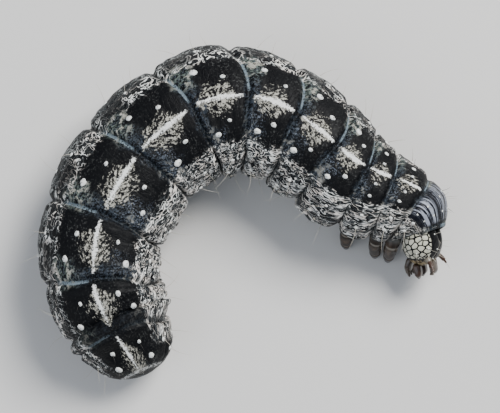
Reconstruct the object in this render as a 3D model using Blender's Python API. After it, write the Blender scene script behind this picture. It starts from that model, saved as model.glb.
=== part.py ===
"""Larva of the merveille du jour moth, curled at rest, at life size.

The animal lies on the floor in a C. Its body is a chain of segments along a level path, each segment
a loft between its two boundaries, and it stands on five pairs of prolegs and on its thoracic legs.
Sizes are in millimetres and become metres when a mesh is made. +Z is up, and the head is at +X.
"""

import math

import bmesh
import bpy
from mathutils import Matrix, Vector

MM = 0.001
GAP = 0.3

# The path starts at the tail's end and runs forward to the neck.
TAIL_END = (-6.53, -10.58)
TAIL_HEADING = 114.0

# Each row, from the tail forward: name, length, turn to the left in degrees, half width, height of
# the back, height of the belly, and lean of the back to the animal's left in degrees.
SEGMENTS = (
    ("anal_segment", 3.10, 6.0, 2.75, 5.0, 0.9, 10.0),
    ("abdomen_9", 0.95, -2.0, 3.55, 6.4, 0.8, 10.0),
    ("abdomen_8", 2.45, -13.0, 3.65, 7.0, 0.8, 8.0),
    ("abdomen_7", 4.15, -35.0, 3.90, 7.2, 0.9, -1.0),
    ("abdomen_6", 4.60, -18.0, 4.20, 7.3, 0.9, -4.0),
    ("abdomen_5", 4.55, -27.0, 4.10, 7.3, 0.9, -4.0),
    ("abdomen_4", 3.60, -35.0, 4.30, 7.3, 0.9, 3.0),
    ("abdomen_3", 3.20, -24.0, 3.95, 7.2, 0.9, 8.0),
    ("abdomen_2", 3.10, -12.0, 3.80, 7.0, 0.9, 9.0),
    ("abdomen_1", 2.60, 16.0, 3.60, 6.8, 1.0, 12.0),
    ("metathorax", 1.95, 8.0, 3.20, 6.4, 1.2, 18.0),
    ("mesothorax", 1.85, -14.0, 2.75, 6.0, 1.4, 27.0),
    ("prothorax", 1.75, -32.0, 2.30, 5.5, 1.6, 38.0),
)
RING_SIDES = 28
RING_STEPS = 8
TAIL_STEPS = (7.0, 15.0, 25.0, 37.0, 50.0, 63.0, 76.0, 90.0)
GROOVE_REACH = 0.42
GROOVE_DEPTH = 0.045
FOLD_PLACE = 0.66
FOLD_REACH = 0.10
FOLD_DEPTH = 0.018
SKIRT_ANGLE = 112.0
SKIRT_REACH = 16.0
SKIRT_RISE = 0.05
BACK_POWER = 2.15
BELLY_POWER = 2.5
NECK_SIZE = 0.60

# The head capsule: half width, then how far it reaches up, down, to the face and to the neck.
HEAD_CENTRE = (11.6, -1.9, 2.85)
HEAD_HALF_WIDTH = 1.72
HEAD_UP = 1.72
HEAD_DOWN = 1.55
HEAD_FRONT = 1.30
HEAD_BACK = 1.25
HEAD_ROLL = 60.0
HEAD_TILT = 50.0
HEAD_HEADING = -50.0
SULCUS_DEPTH = 0.16
SULCUS_REACH = 0.22

# Where the prolegs leave the body, their radii from the root down, and how far the soles stand out.
PROLEG_ANGLE = 146.0
PROLEG_ROOT = 0.95
PROLEG_CALF = 0.79
PROLEG_WAIST = 0.72
PROLEG_SOLE = 0.62
PROLEG_SOLE_HEIGHT = 0.16
PROLEG_SPREAD = 0.15
PROLEG_SIDES = 14
PROLEG_NAMES = ("abdomen_3", "abdomen_4", "abdomen_5", "abdomen_6")
ANAL_PROLEG_PLACE = 0.48
ANAL_PROLEG_ANGLE = 153.0
ANAL_PROLEG_SIZE = 0.85
ANAL_PROLEG_DRIFT = 0.10

# The jointed legs: radii at the hip's root, hip, knee, ankle and claw, and the least joint heights.
LEG_ANGLE = 140.0
LEG_PLACE = 0.35
LEG_ROOT = 0.48
LEG_HIP = 0.45
LEG_KNEE = 0.385
LEG_ANKLE = 0.27
LEG_TIP = 0.15
HIP_LENGTH = 0.35
KNEE_HEIGHT = 0.62
ANKLE_HEIGHT = 0.36
LEG_SIDES = 10
# Each pair of jointed legs: name, segment, how far its feet stand out, and how far they step forward.
LEGS = (
    ("front", "prothorax", 0.90, 0.10),
    ("middle", "mesothorax", 0.85, 0.30),
    ("rear", "metathorax", 0.85, 0.35),
)

# The mouth's pieces as two corners in the head's own right, face and up, and how narrow they end.
LABRUM = ((-0.60, 0.45, -2.15), (0.60, 1.00, -1.60), 0.8)
LOWER_LIP = ((-0.60, -1.25, -1.95), (0.60, -0.75, -1.36), 0.6)
MANDIBLE_INNER = 0.16
MANDIBLE_OUTER = 0.95
MANDIBLE_BACK = -0.42
MANDIBLE_FRONT = 0.12
MANDIBLE_TIP = -2.40
MANDIBLE_TOP = -1.74
MANDIBLE_NARROW = 0.6
MOUTH_ROUNDING = 0.18

# A feeler's root direction and its own direction on the right side, its droop, and its rings.
ANTENNA_ROOT = (0.62, 0.50, -0.60)
ANTENNA_WAY = (0.55, 0.62, -0.56)
ANTENNA_DROOP = 0.35
ANTENNA_RINGS = ((0.0, 0.28), (0.40, 0.25), (0.75, 0.13))
ANTENNA_SIDES = 8

SIDES = (("left", -1), ("right", 1))


def blend(a, b, t):
    return a + (b - a) * t


def ease(t):
    t = min(max(t, 0.0), 1.0)
    return t * t * (3.0 - 2.0 * t)


def walk_path():
    """Boundaries from tail to neck: distance along the path, place and heading of each."""
    x, y = TAIL_END
    heading = TAIL_HEADING
    distance = 0.0
    stops = [(distance, x, y, heading)]
    for _, length, turn, *_ in SEGMENTS:
        half = math.radians(turn / 2.0)
        chord = length * (math.sin(half) / half if abs(half) > 1e-6 else 1.0)
        direction = math.radians(heading) + half
        x += chord * math.cos(direction)
        y += chord * math.sin(direction)
        heading += turn
        distance += length
        stops.append((distance, x, y, heading))
    return stops


STOPS = walk_path()


def path_at(index, u):
    """Place and heading at share u of segment number index, on the arc between its boundaries."""
    _, x, y, heading = STOPS[index]
    length = SEGMENTS[index][1] * u
    half = math.radians(SEGMENTS[index][2] * u / 2.0)
    chord = length * (math.sin(half) / half if abs(half) > 1e-6 else 1.0)
    direction = math.radians(heading) + half
    x += chord * math.cos(direction)
    y += chord * math.sin(direction)
    return x, y, heading + SEGMENTS[index][2] * u


def girth_at(distance):
    """Half width, back, belly and lean at a distance along the path, eased between mid-segments."""
    mids = [(a[0] + b[0]) / 2.0 for a, b in zip(STOPS, STOPS[1:])]
    if distance <= mids[0]:
        return SEGMENTS[0][3:]
    for k in range(len(mids) - 1):
        if distance <= mids[k + 1]:
            t = ease((distance - mids[k]) / (mids[k + 1] - mids[k]))
            return tuple(blend(a, b, t) for a, b in zip(SEGMENTS[k][3:], SEGMENTS[k + 1][3:]))
    return SEGMENTS[-1][3:]


def section_frame(index, u):
    """Centre, forward, right and up of the body's cross-section, with its half width and half height."""
    x, y, heading = path_at(index, u)
    distance = STOPS[index][0] + SEGMENTS[index][1] * u
    half_width, back, belly, lean = girth_at(distance)
    angle = math.radians(heading)
    forward = Vector((math.cos(angle), math.sin(angle), 0.0))
    left = Vector((-math.sin(angle), math.cos(angle), 0.0))
    roll = math.radians(lean)
    up = Vector((0.0, 0.0, 1.0)) * math.cos(roll) + left * math.sin(roll)
    right = forward.cross(up)
    centre = Vector((x, y, (back + belly) / 2.0))
    return centre, forward, right, up, half_width, (back - belly) / 2.0


def swelling(index, u):
    """How much the section shrinks in the grooves at the segment's ends and in its own fold."""
    length = SEGMENTS[index][1]
    reach = min(GROOVE_REACH, 0.3 * length)
    near = min(u, 1.0 - u) * length
    groove = GROOVE_DEPTH * math.exp(-((near / reach) ** 2))
    fold = FOLD_DEPTH * math.exp(-(((1.0 - u - FOLD_PLACE) / FOLD_REACH) ** 2)) if length > 2.0 else 0.0
    return 1.0 - groove - fold


def end_taper(index, u):
    """Width and height shares where the body closes: round at the tail, drawn in at the neck."""
    if index == 0:
        t = 1.0 - u
        return math.sqrt(max(1.0 - t ** 3.2, 0.0)), math.sqrt(max(1.0 - t ** 2.4, 0.0))
    if index == len(SEGMENTS) - 1:
        share = blend(1.0, NECK_SIZE, ease((u - 0.35) / 0.65))
        return share, share
    return 1.0, 1.0


def section_point(index, u, angle):
    """A point of the body's surface. The angle is in degrees from the back, to the animal's right."""
    centre, forward, right, up, half_width, half_height = section_frame(index, u)
    swell = swelling(index, u)
    wide, high = end_taper(index, u)
    turn = math.radians(angle)
    power = 2.0 / (BACK_POWER if math.cos(turn) > 0.0 else BELLY_POWER)
    side = math.copysign(abs(math.sin(turn)) ** power, math.sin(turn))
    rise = math.copysign(abs(math.cos(turn)) ** power, math.cos(turn))
    skirt = 1.0 + SKIRT_RISE * math.exp(-(((abs(angle) - SKIRT_ANGLE) / SKIRT_REACH) ** 2)) * (
        4.0 * u * (1.0 - u)
    )
    sink = (1.0 - high) * 0.35 * half_height if index == 0 else 0.0
    shift = forward * (GAP / 2.0 * (1.0 - 2.0 * u))
    return (
        centre
        + shift
        + right * (half_width * side * swell * wide * skirt)
        + up * (half_height * rise * swell * high)
        - Vector((0.0, 0.0, sink))
    )


def new_material(name, colour, roughness):
    material = bpy.data.materials.new(name)
    material.use_nodes = True
    shader = material.node_tree.nodes["Principled BSDF"]
    shader.inputs["Base Color"].default_value = (*colour, 1.0)
    shader.inputs["Roughness"].default_value = roughness
    shader.inputs["Metallic"].default_value = 0.0
    return material


def new_object(name, mesh_builder, material, collection):
    """An object from a bmesh in millimetres, with its faces turned out and shaded smooth."""
    mesh_builder.normal_update()
    bmesh.ops.recalc_face_normals(mesh_builder, faces=mesh_builder.faces)
    bmesh.ops.scale(mesh_builder, vec=(MM, MM, MM), verts=mesh_builder.verts)
    mesh = bpy.data.meshes.new(name)
    mesh_builder.to_mesh(mesh)
    mesh_builder.free()
    mesh.shade_smooth()
    mesh.set_sharp_from_angle(angle=math.radians(50.0))
    mesh.materials.append(material)
    made = bpy.data.objects.new(name, mesh)
    collection.objects.link(made)
    return made


def loft(rings):
    """A closed solid through rings of points, with a flat cap at each end."""
    builder = bmesh.new()
    rows = [[builder.verts.new(point) for point in ring] for ring in rings]
    count = len(rows[0])
    for a, b in zip(rows, rows[1:]):
        for k in range(count):
            builder.faces.new((a[k], a[(k + 1) % count], b[(k + 1) % count], b[k]))
    builder.faces.new(reversed(rows[0]))
    builder.faces.new(rows[-1])
    return builder


def circle(centre, normal, radius, count, start):
    """Points round a circle, starting on the side that faces the start direction most."""
    axis = Vector(normal).normalized()
    across = (start - axis * start.dot(axis)).normalized()
    around = axis.cross(across)
    points = []
    for k in range(count):
        turn = 2.0 * math.pi * k / count
        points.append(Vector(centre) + (across * math.cos(turn) + around * math.sin(turn)) * radius)
    return points


def make_segment(index, material, collection):
    name = SEGMENTS[index][0]
    steps = [k / RING_STEPS for k in range(RING_STEPS + 1)]
    if index == 0:
        steps = [1.0 - math.cos(math.radians(angle)) for angle in TAIL_STEPS]
    angles = [360.0 * (k + 0.5) / RING_SIDES - 180.0 for k in range(RING_SIDES)]
    rings = [[section_point(index, u, angle) for angle in angles] for u in steps]
    return new_object(name, loft(rings), material, collection)


def surface_at(index, u, angle):
    """A point of the body's surface and the direction out of it."""
    here = section_point(index, u, angle)
    ahead = section_point(index, min(u + 0.05, 1.0), angle)
    behind = section_point(index, max(u - 0.05, 0.0), angle)
    around = section_point(index, u, angle + 4.0) - section_point(index, u, angle - 4.0)
    out = (ahead - behind).cross(around).normalized()
    centre = section_frame(index, u)[0]
    if out.dot(here - centre) < 0.0:
        out = -out
    return here, out


def make_proleg(name, index, u, angle, scale, drift, material, collection):
    """A fleshy leg: a wide root against the body, a waist, and a flat round sole on the floor."""
    root, out = surface_at(index, u, angle)
    start = root + out * GAP
    forward = section_frame(index, u)[1]
    aside = Vector((out.x, out.y, 0.0)).normalized()
    sole = Vector((start.x, start.y, 0.0)) + aside * PROLEG_SPREAD * scale + forward * drift
    down = Vector((0.0, 0.0, -1.0))
    bend = (out + down * 1.5).normalized()
    lip = sole - down * PROLEG_SOLE_HEIGHT
    rings = [
        circle(start, out, PROLEG_ROOT * scale, PROLEG_SIDES, forward),
        circle(start.lerp(sole, 0.35), bend, PROLEG_CALF * scale, PROLEG_SIDES, forward),
        circle(start.lerp(sole, 0.68), down, PROLEG_WAIST * scale, PROLEG_SIDES, forward),
        circle(lip, down, PROLEG_WAIST * scale, PROLEG_SIDES, forward),
        circle(sole, down, PROLEG_SOLE * scale, PROLEG_SIDES, forward),
    ]
    return new_object(name, loft(rings), material, collection)


def make_leg(name, index, side, reach, stride, material, collection):
    """A jointed leg: coxa, femur and tibia taper to a claw whose tip is flat on the floor."""
    root, out = surface_at(index, LEG_PLACE, side * LEG_ANGLE)
    start = root + out * GAP
    forward = section_frame(index, LEG_PLACE)[1]
    aside = Vector((out.x, out.y, 0.0)).normalized()
    foot = Vector((start.x, start.y, 0.0)) + aside * reach + forward * stride
    hip = start + out * HIP_LENGTH
    knee = start.lerp(foot, 0.55) + aside * 0.25
    knee.z = max(0.50 * start.z, KNEE_HEIGHT)
    ankle = start.lerp(foot, 0.85) + aside * 0.12
    ankle.z = max(0.20 * start.z, ANKLE_HEIGHT)
    rings = [
        circle(start, out, LEG_ROOT, LEG_SIDES, forward),
        circle(hip, knee - start, LEG_HIP, LEG_SIDES, forward),
        circle(knee, ankle - hip, LEG_KNEE, LEG_SIDES, forward),
        circle(ankle, foot - knee, LEG_ANKLE, LEG_SIDES, forward),
        circle(foot, (0.0, 0.0, -1.0), LEG_TIP, LEG_SIDES, forward),
    ]
    return new_object(name, loft(rings), material, collection)


def head_axes():
    """Right, face and up directions of the head: rolled over to the left, its face tilted up."""
    heading = math.radians(HEAD_HEADING)
    ahead = Vector((math.cos(heading), math.sin(heading), 0.0))
    left = Vector((-math.sin(heading), math.cos(heading), 0.0))
    roll = math.radians(HEAD_ROLL)
    back = Vector((0.0, 0.0, 1.0)) * math.cos(roll) + left * math.sin(roll)
    tilt = math.radians(HEAD_TILT)
    face = ahead * math.cos(tilt) + back * math.sin(tilt)
    up = back * math.cos(tilt) - ahead * math.sin(tilt)
    return face.cross(up), face, up


def head_place(x, y, z):
    """A place given in the head's own right, face and up directions, in millimetres."""
    right, face, up = head_axes()
    return Vector(HEAD_CENTRE) + right * x + face * y + up * z


def head_surface(x, y, z):
    """A place on the head capsule, in its own directions, for a direction given as a unit vector."""
    narrow = 1.0 - 0.20 * ease((-z - 0.1) / 0.9)
    furrow = math.exp(-((x * HEAD_HALF_WIDTH / SULCUS_REACH) ** 2)) * ease((z + 0.15) / 0.5)
    shrink = 1.0 - furrow * SULCUS_DEPTH
    depth = HEAD_FRONT if y > 0.0 else HEAD_BACK
    height = HEAD_UP if z > 0.0 else HEAD_DOWN
    return x * HEAD_HALF_WIDTH * narrow, y * depth * shrink, z * height * shrink


def make_head(material, collection):
    """Two rounded cheeks with a furrow between them, cut flat where the neck meets it."""
    builder = bmesh.new()
    bmesh.ops.create_uvsphere(builder, u_segments=28, v_segments=18, radius=1.0)
    for vert in builder.verts:
        vert.co = head_place(*head_surface(*vert.co))
    neck, forward, *_ = section_frame(len(SEGMENTS) - 1, 1.0)
    bmesh.ops.bisect_plane(
        builder,
        geom=builder.verts[:] + builder.edges[:] + builder.faces[:],
        plane_co=neck + forward * (GAP / 2.0),
        plane_no=forward,
        clear_inner=True,
    )
    rim = [edge for edge in builder.edges if edge.is_boundary]
    bmesh.ops.edgeloop_fill(builder, edges=rim)
    return new_object("head", builder, material, collection)


def make_mouthpart(name, low, high, narrow, material, collection):
    """A small block of the mouth between two corners in the head's directions, narrower at its tip."""
    builder = bmesh.new()
    bmesh.ops.create_cube(builder, size=1.0)
    bmesh.ops.bevel(builder, geom=builder.edges[:], offset=MOUTH_ROUNDING, segments=2, affect="EDGES")
    middle = (Vector(low) + Vector(high)) / 2.0
    size = Vector(high) - Vector(low)
    for vert in builder.verts:
        x, y, z = vert.co
        taper = blend(narrow, 1.0, z + 0.5)
        inside = Vector((x * size.x * taper, y * size.y * taper, z * size.z))
        vert.co = head_place(*(middle + inside))
    return new_object(name, builder, material, collection)


def make_antenna(name, side, material, collection):
    """A short feeler of two joints beside the jaw."""
    mirror = Vector((side, 1.0, 1.0))
    way = (Vector(ANTENNA_ROOT) * mirror).normalized()
    out = (Vector(ANTENNA_WAY) * mirror).normalized()
    root = Vector(head_surface(*way)) + out * GAP
    up = head_axes()[2]
    rings = []
    for reach, radius in ANTENNA_RINGS:
        here = root + (out + Vector((0.0, 0.0, -ANTENNA_DROOP)) * reach).normalized() * reach
        centre = head_place(*here)
        axis = head_place(*(here + out)) - centre
        rings.append(circle(centre, axis, radius, ANTENNA_SIDES, up))
    return new_object(name, loft(rings), material, collection)


def add_prolegs(material, collection):
    """Four pairs under the middle of the abdomen, and the claspers under the tail."""
    names = [row[0] for row in SEGMENTS]
    for word, side in SIDES:
        for name in PROLEG_NAMES:
            title = f"proleg_{name[-1]}_{word}"
            angle = side * PROLEG_ANGLE
            make_proleg(title, names.index(name), 0.5, angle, 1.0, 0.0, material, collection)
        title = f"anal_proleg_{word}"
        angle = side * ANAL_PROLEG_ANGLE
        size = ANAL_PROLEG_SIZE
        drift = ANAL_PROLEG_DRIFT
        make_proleg(title, 0, ANAL_PROLEG_PLACE, angle, size, drift, material, collection)


def add_legs(material, collection):
    """Three pairs of jointed legs, one under each segment of the thorax."""
    names = [row[0] for row in SEGMENTS]
    for place, name, reach, stride in LEGS:
        for word, side in SIDES:
            title = f"leg_{place}_{word}"
            make_leg(title, names.index(name), side, reach, stride, material, collection)


def add_mouth(material, collection):
    """Upper and lower lip, two jaws and two feelers below the face."""
    make_mouthpart("labrum", *LABRUM, material, collection)
    make_mouthpart("lower_lip", *LOWER_LIP, material, collection)
    for word, side in SIDES:
        inner, outer = sorted((side * MANDIBLE_INNER, side * MANDIBLE_OUTER))
        low = (inner, MANDIBLE_BACK, MANDIBLE_TIP)
        high = (outer, MANDIBLE_FRONT, MANDIBLE_TOP)
        make_mouthpart(f"mandible_{word}", low, high, MANDIBLE_NARROW, material, collection)
        make_antenna(f"antenna_{word}", side, material, collection)


def main():
    for old in list(bpy.data.objects):
        bpy.data.objects.remove(old)
    collection = bpy.data.collections.new("merveille_du_jour_larva")
    bpy.context.scene.collection.children.link(collection)

    skin = new_material("velvet_skin", (0.045, 0.050, 0.050), 0.55)
    shell = new_material("head_shell", (0.36, 0.33, 0.27), 0.25)
    horn = new_material("leg_horn", (0.10, 0.06, 0.035), 0.3)

    for index in range(len(SEGMENTS)):
        make_segment(index, skin, collection)

    add_prolegs(skin, collection)
    add_legs(horn, collection)
    make_head(shell, collection)
    add_mouth(horn, collection)


main()
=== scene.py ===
import math

import bpy
import numpy as np
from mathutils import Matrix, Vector, noise


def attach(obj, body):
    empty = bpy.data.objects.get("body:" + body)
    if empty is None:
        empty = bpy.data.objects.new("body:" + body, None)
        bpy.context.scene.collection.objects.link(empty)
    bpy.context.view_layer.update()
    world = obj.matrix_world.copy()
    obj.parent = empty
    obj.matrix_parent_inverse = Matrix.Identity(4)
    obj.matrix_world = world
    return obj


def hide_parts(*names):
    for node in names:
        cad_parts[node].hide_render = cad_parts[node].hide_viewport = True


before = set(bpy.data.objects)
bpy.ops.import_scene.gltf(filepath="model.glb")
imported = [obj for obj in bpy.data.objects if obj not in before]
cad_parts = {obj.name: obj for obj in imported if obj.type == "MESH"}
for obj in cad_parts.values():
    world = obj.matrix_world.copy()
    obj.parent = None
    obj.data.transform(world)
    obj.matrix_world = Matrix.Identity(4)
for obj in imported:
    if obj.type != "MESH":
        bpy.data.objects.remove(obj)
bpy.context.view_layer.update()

MM = 0.001


# Skin
# The real skin is one soft velvety bag over thirteen segments, drawn in at each joint between them.
# It is pleated on the inside of the curl and stretched outside, and runs on over the fleshy legs.
TAIL_END = (-6.53, -10.58)
TAIL_HEADING = 114.0
# The segments, from the tail forward: name, length, turn to the left, half width, height of the back,
# height of the belly, and lean of the back to the animal's left, in millimetres and degrees.
SEGMENTS = (
    ("anal_segment", 3.10, 6.0, 2.75, 5.0, 0.9, 10.0),
    ("abdomen_9", 0.95, -2.0, 3.55, 6.4, 0.8, 10.0),
    ("abdomen_8", 2.45, -13.0, 3.65, 7.0, 0.8, 8.0),
    ("abdomen_7", 4.15, -35.0, 3.90, 7.2, 0.9, -1.0),
    ("abdomen_6", 4.60, -18.0, 4.20, 7.3, 0.9, -4.0),
    ("abdomen_5", 4.55, -27.0, 4.10, 7.3, 0.9, -4.0),
    ("abdomen_4", 3.60, -35.0, 4.30, 7.3, 0.9, 3.0),
    ("abdomen_3", 3.20, -24.0, 3.95, 7.2, 0.9, 8.0),
    ("abdomen_2", 3.10, -12.0, 3.80, 7.0, 0.9, 9.0),
    ("abdomen_1", 2.60, 16.0, 3.60, 6.8, 1.0, 12.0),
    ("metathorax", 1.95, 8.0, 3.20, 6.4, 1.2, 18.0),
    ("mesothorax", 1.85, -14.0, 2.75, 6.0, 1.4, 27.0),
    ("prothorax", 1.75, -32.0, 2.30, 5.5, 1.6, 38.0),
)
LAST = len(SEGMENTS) - 1
GROOVE_REACH = 0.42
GROOVE_DEPTH = 0.045
FOLD_PLACE = 0.66
FOLD_REACH = 0.10
FOLD_DEPTH = 0.018
SKIRT_ANGLE = 112.0
SKIRT_REACH = 16.0
SKIRT_RISE = 0.05
BACK_POWER = 2.15
BELLY_POWER = 2.5
NECK_SIZE = 0.66
# The noises are laid on a straight body of this radius.
NOISE_GIRTH = 4.0

# The clefts at the joints, deeper towards the inside of the curl, and the low lip beside each.
CLEFT_BACK = 0.10
CLEFT_SIDE = 0.17
CLEFT_INNER = 0.26
CLEFT_REACH = 0.15
CLEFT_LIP = 0.05
CLEFT_LIP_PLACE = 0.32
CLEFT_LIP_REACH = 0.16
# Fine creases across each long segment: place along it and depth.
RING_CREASES = ((0.30, 0.03), (0.84, 0.045))
RING_CREASE_REACH = 0.03
# Creases and rolls that run along the flank: angle from the back, reach and height.
UPPER_CREASE = (70.0, 4.0, 0.09)
LOWER_CREASE = (104.0, 3.5, 0.13)
FLANK_ROLLS = ((88.0, 9.0, 0.13), (118.0, 8.0, 0.10))
CREASE_WOBBLE = 0.03
LUMP_HEIGHT = 0.06
GRAIN_HEIGHT = 0.016
PLEAT_OUTER = 0.015
PLEAT_INNER = 0.085
# Fine ripples near the tail on the inside of the curl: from and to, in segments from the neck.
RIPPLE_FROM = 9.2
RIPPLE_TO = 11.6
RIPPLE_HEIGHT = 0.022
TAIL_FLAP_RISE = 0.06
TAIL_FLAP_CREASE = 0.13
SHIELD_RISE = 0.05

# How far the joints bow towards the tail on the outer and the inner side of the curl, as a share of a
# segment, at each joint from the neck to the tail.
BOW_OUTER = (0.0, 0.10, 0.20, 0.30, 0.35, 0.35, 0.28, 0.18, 0.06, 0.0, -0.12, 0.0, 0.0, 0.0)
BOW_INNER = (0.0, 0.0, 0.0, -0.05, -0.12, -0.22, -0.15, -0.08, 0.0, 0.12, 0.35, 0.50, 0.20, 0.0)
BOW_ANGLE = 50.0
BOW_GROWS_TO = 60.0
BOW_FADES_FROM = 80.0
BOW_FADES_OVER = 60.0
# There are twelve sets of markings, because the eighth and ninth abdominal segments share one.
MARK_SETS = 12
SHARED_RING = 10.0
SHARED_SPLIT = 0.78

TAIL_RINGS = 46
NECK_RINGS = 8
BODY_RINGS = 470
SKIN_SIDES = 180
# How far the skin's sides crowd together towards the back, where the markings are.
SIDE_CROWDING = 0.15
# The collar of skin that rolls in round the neck: how far it turns, in half turns, how much narrower it
# gets by turning and from ring to ring, as shares, and how far it stands ahead, in millimetres.
COLLAR_TURN = 1.3
COLLAR_NARROWING = 0.10
COLLAR_RING_STEP = 0.02
COLLAR_AHEAD = 0.16

# The prolegs: segment number from the tail, place along it, angle from the back, and size.
PROLEG_PLACES = (
    (0, 0.48, 153.0, 0.85),
    (4, 0.5, 146.0, 1.0),
    (5, 0.5, 146.0, 1.0),
    (6, 0.5, 146.0, 1.0),
    (7, 0.5, 146.0, 1.0),
)
PROLEG_SPREAD = 0.15
PROLEG_REACH = 1.5
PROLEG_SHARES = (0.0, 0.30, 0.36, 0.46, 0.58, 0.70, 0.84, 1.0)
PROLEG_RADII = (0.0, 0.60, 0.69, 0.74, 0.70, 0.76, 1.00, 1.5)
PROLEG_DROPS = (1.0, 1.0, 0.95, 0.76, 0.50, 0.26, 0.08, 0.0)
PROLEG_SKIN_DEPTH = 1.3
PROLEG_HOLD_FROM = 0.74


def blend(a, b, t):
    return a + (b - a) * t


def ease(t):
    t = min(max(t, 0.0), 1.0)
    return t * t * (3.0 - 2.0 * t)


def hill(x, centre, reach):
    return math.exp(-(((x - centre) / reach) ** 2))


def walk_path():
    """Boundaries from tail to neck: distance along the path, place and heading of each."""
    x, y = TAIL_END
    heading = TAIL_HEADING
    distance = 0.0
    stops = [(distance, x, y, heading)]
    for _, length, turn, *_ in SEGMENTS:
        half = math.radians(turn / 2.0)
        chord = length * (math.sin(half) / half if abs(half) > 1e-6 else 1.0)
        direction = math.radians(heading) + half
        x += chord * math.cos(direction)
        y += chord * math.sin(direction)
        heading += turn
        distance += length
        stops.append((distance, x, y, heading))
    return stops


STOPS = walk_path()
BODY_LENGTH = STOPS[-1][0]


def girth_at(distance):
    """Half width, back, belly and lean at a distance along the path, eased between mid-segments."""
    mids = [(a[0] + b[0]) / 2.0 for a, b in zip(STOPS, STOPS[1:])]
    if distance <= mids[0]:
        return SEGMENTS[0][3:]
    for k in range(len(mids) - 1):
        if distance <= mids[k + 1]:
            t = ease((distance - mids[k]) / (mids[k + 1] - mids[k]))
            return tuple(blend(a, b, t) for a, b in zip(SEGMENTS[k][3:], SEGMENTS[k + 1][3:]))
    return SEGMENTS[-1][3:]


def section_frame(index, u):
    """Centre, forward, right and up of the body's cross-section, with its half width and half height."""
    start, x, y, heading = STOPS[index]
    turn = SEGMENTS[index][2] * u
    length = SEGMENTS[index][1] * u
    half = math.radians(turn / 2.0)
    chord = length * (math.sin(half) / half if abs(half) > 1e-6 else 1.0)
    x += chord * math.cos(math.radians(heading) + half)
    y += chord * math.sin(math.radians(heading) + half)
    half_width, back, belly, lean = girth_at(start + length)
    angle = math.radians(heading + turn)
    forward = Vector((math.cos(angle), math.sin(angle), 0.0))
    left = Vector((-math.sin(angle), math.cos(angle), 0.0))
    roll = math.radians(lean)
    up = Vector((0.0, 0.0, 1.0)) * math.cos(roll) + left * math.sin(roll)
    right = forward.cross(up)
    return Vector((x, y, (back + belly) / 2.0)), forward, right, up, half_width, (back - belly) / 2.0


def bow(ring, angle):
    """How far a joint bows back at this angle, as a share of a segment. Rings count from the neck."""
    table = BOW_OUTER if angle < 0.0 else BOW_INNER
    k = min(int(ring), LAST)
    amount = blend(table[k], table[k + 1], ring - k)
    side = abs(angle)
    growth = (min(side, BOW_GROWS_TO) / BOW_ANGLE) ** 1.5
    return amount * growth * (1.0 - ease((side - BOW_FADES_FROM) / BOW_FADES_OVER))


def mark_of(ring, angle):
    """The place in the markings of a place on the body, both counted in segments from the neck."""
    straightened = ring - bow(ring, angle)
    past = straightened - SHARED_RING
    if past <= 0.0:
        return straightened
    if past < 1.0:
        return SHARED_RING + SHARED_SPLIT * past
    if past < 2.0:
        return SHARED_RING + SHARED_SPLIT + (1.0 - SHARED_SPLIT) * (past - 1.0)
    return straightened - 1.0


def ring_of(mark, angle):
    """The reverse of mark_of, found by a few rounds of correction."""
    past = mark - SHARED_RING
    straightened = mark
    if past > 1.0:
        straightened = mark + 1.0
    elif past > SHARED_SPLIT:
        straightened = SHARED_RING + 1.0 + (past - SHARED_SPLIT) / (1.0 - SHARED_SPLIT)
    elif past > 0.0:
        straightened = SHARED_RING + past / SHARED_SPLIT
    ring = straightened
    for _ in range(6):
        ring = min(max(straightened + bow(ring, angle), 0.0), LAST + 0.99)
    return ring


def index_and_share(ring):
    index = LAST - min(int(ring), LAST)
    return index, 1.0 - (ring - (LAST - index))


def swelling(ring, angle):
    """How much the section shrinks in the bowed groove at each joint and in each segment's own fold."""
    bowed = min(max(ring - bow(ring, angle), 0.0), LAST + 1.0)
    index, u = index_and_share(bowed)
    length = SEGMENTS[index][1]
    reach = min(GROOVE_REACH, 0.3 * length)
    near = min(u, 1.0 - u) * length
    fold = FOLD_DEPTH * hill(1.0 - u, FOLD_PLACE, FOLD_REACH) if length > 2.0 else 0.0
    return 1.0 - GROOVE_DEPTH * hill(near, 0.0, reach) - fold


def end_taper(index, u):
    """Width and height shares where the body closes: round at the tail, drawn in at the neck."""
    if index == 0:
        t = 1.0 - u
        return math.sqrt(max(1.0 - t ** 3.2, 0.0)), math.sqrt(max(1.0 - t ** 2.4, 0.0))
    if index == LAST:
        share = blend(1.0, NECK_SIZE, ease((u - 0.35) / 0.65))
        return share, share
    return 1.0, 1.0


def skin_point(index, u, angle, lift=0.0, framed=None, share=1.0, ahead=0.0):
    """A point of the skin. The angle is in degrees from the back, to the animal's right."""
    centre, forward, right, up, half_width, half_height = framed or section_frame(index, u)
    swell = swelling(LAST - index + 1.0 - u, angle) * share
    wide, high = end_taper(index, u)
    turn = math.radians(angle)
    power = 2.0 / (BACK_POWER if math.cos(turn) > 0.0 else BELLY_POWER)
    side = math.copysign(abs(math.sin(turn)) ** power, math.sin(turn))
    rise = math.copysign(abs(math.cos(turn)) ** power, math.cos(turn))
    skirt = 1.0 + SKIRT_RISE * hill(abs(angle), SKIRT_ANGLE, SKIRT_REACH) * 4.0 * u * (1.0 - u)
    sink = (1.0 - high) * 0.35 * half_height if index == 0 else 0.0
    return (
        centre
        + forward * ahead
        + right * ((half_width * skirt + lift) * side * swell * wide)
        + up * ((half_height + lift) * rise * swell * high)
        - Vector((0.0, 0.0, sink))
    )


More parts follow.
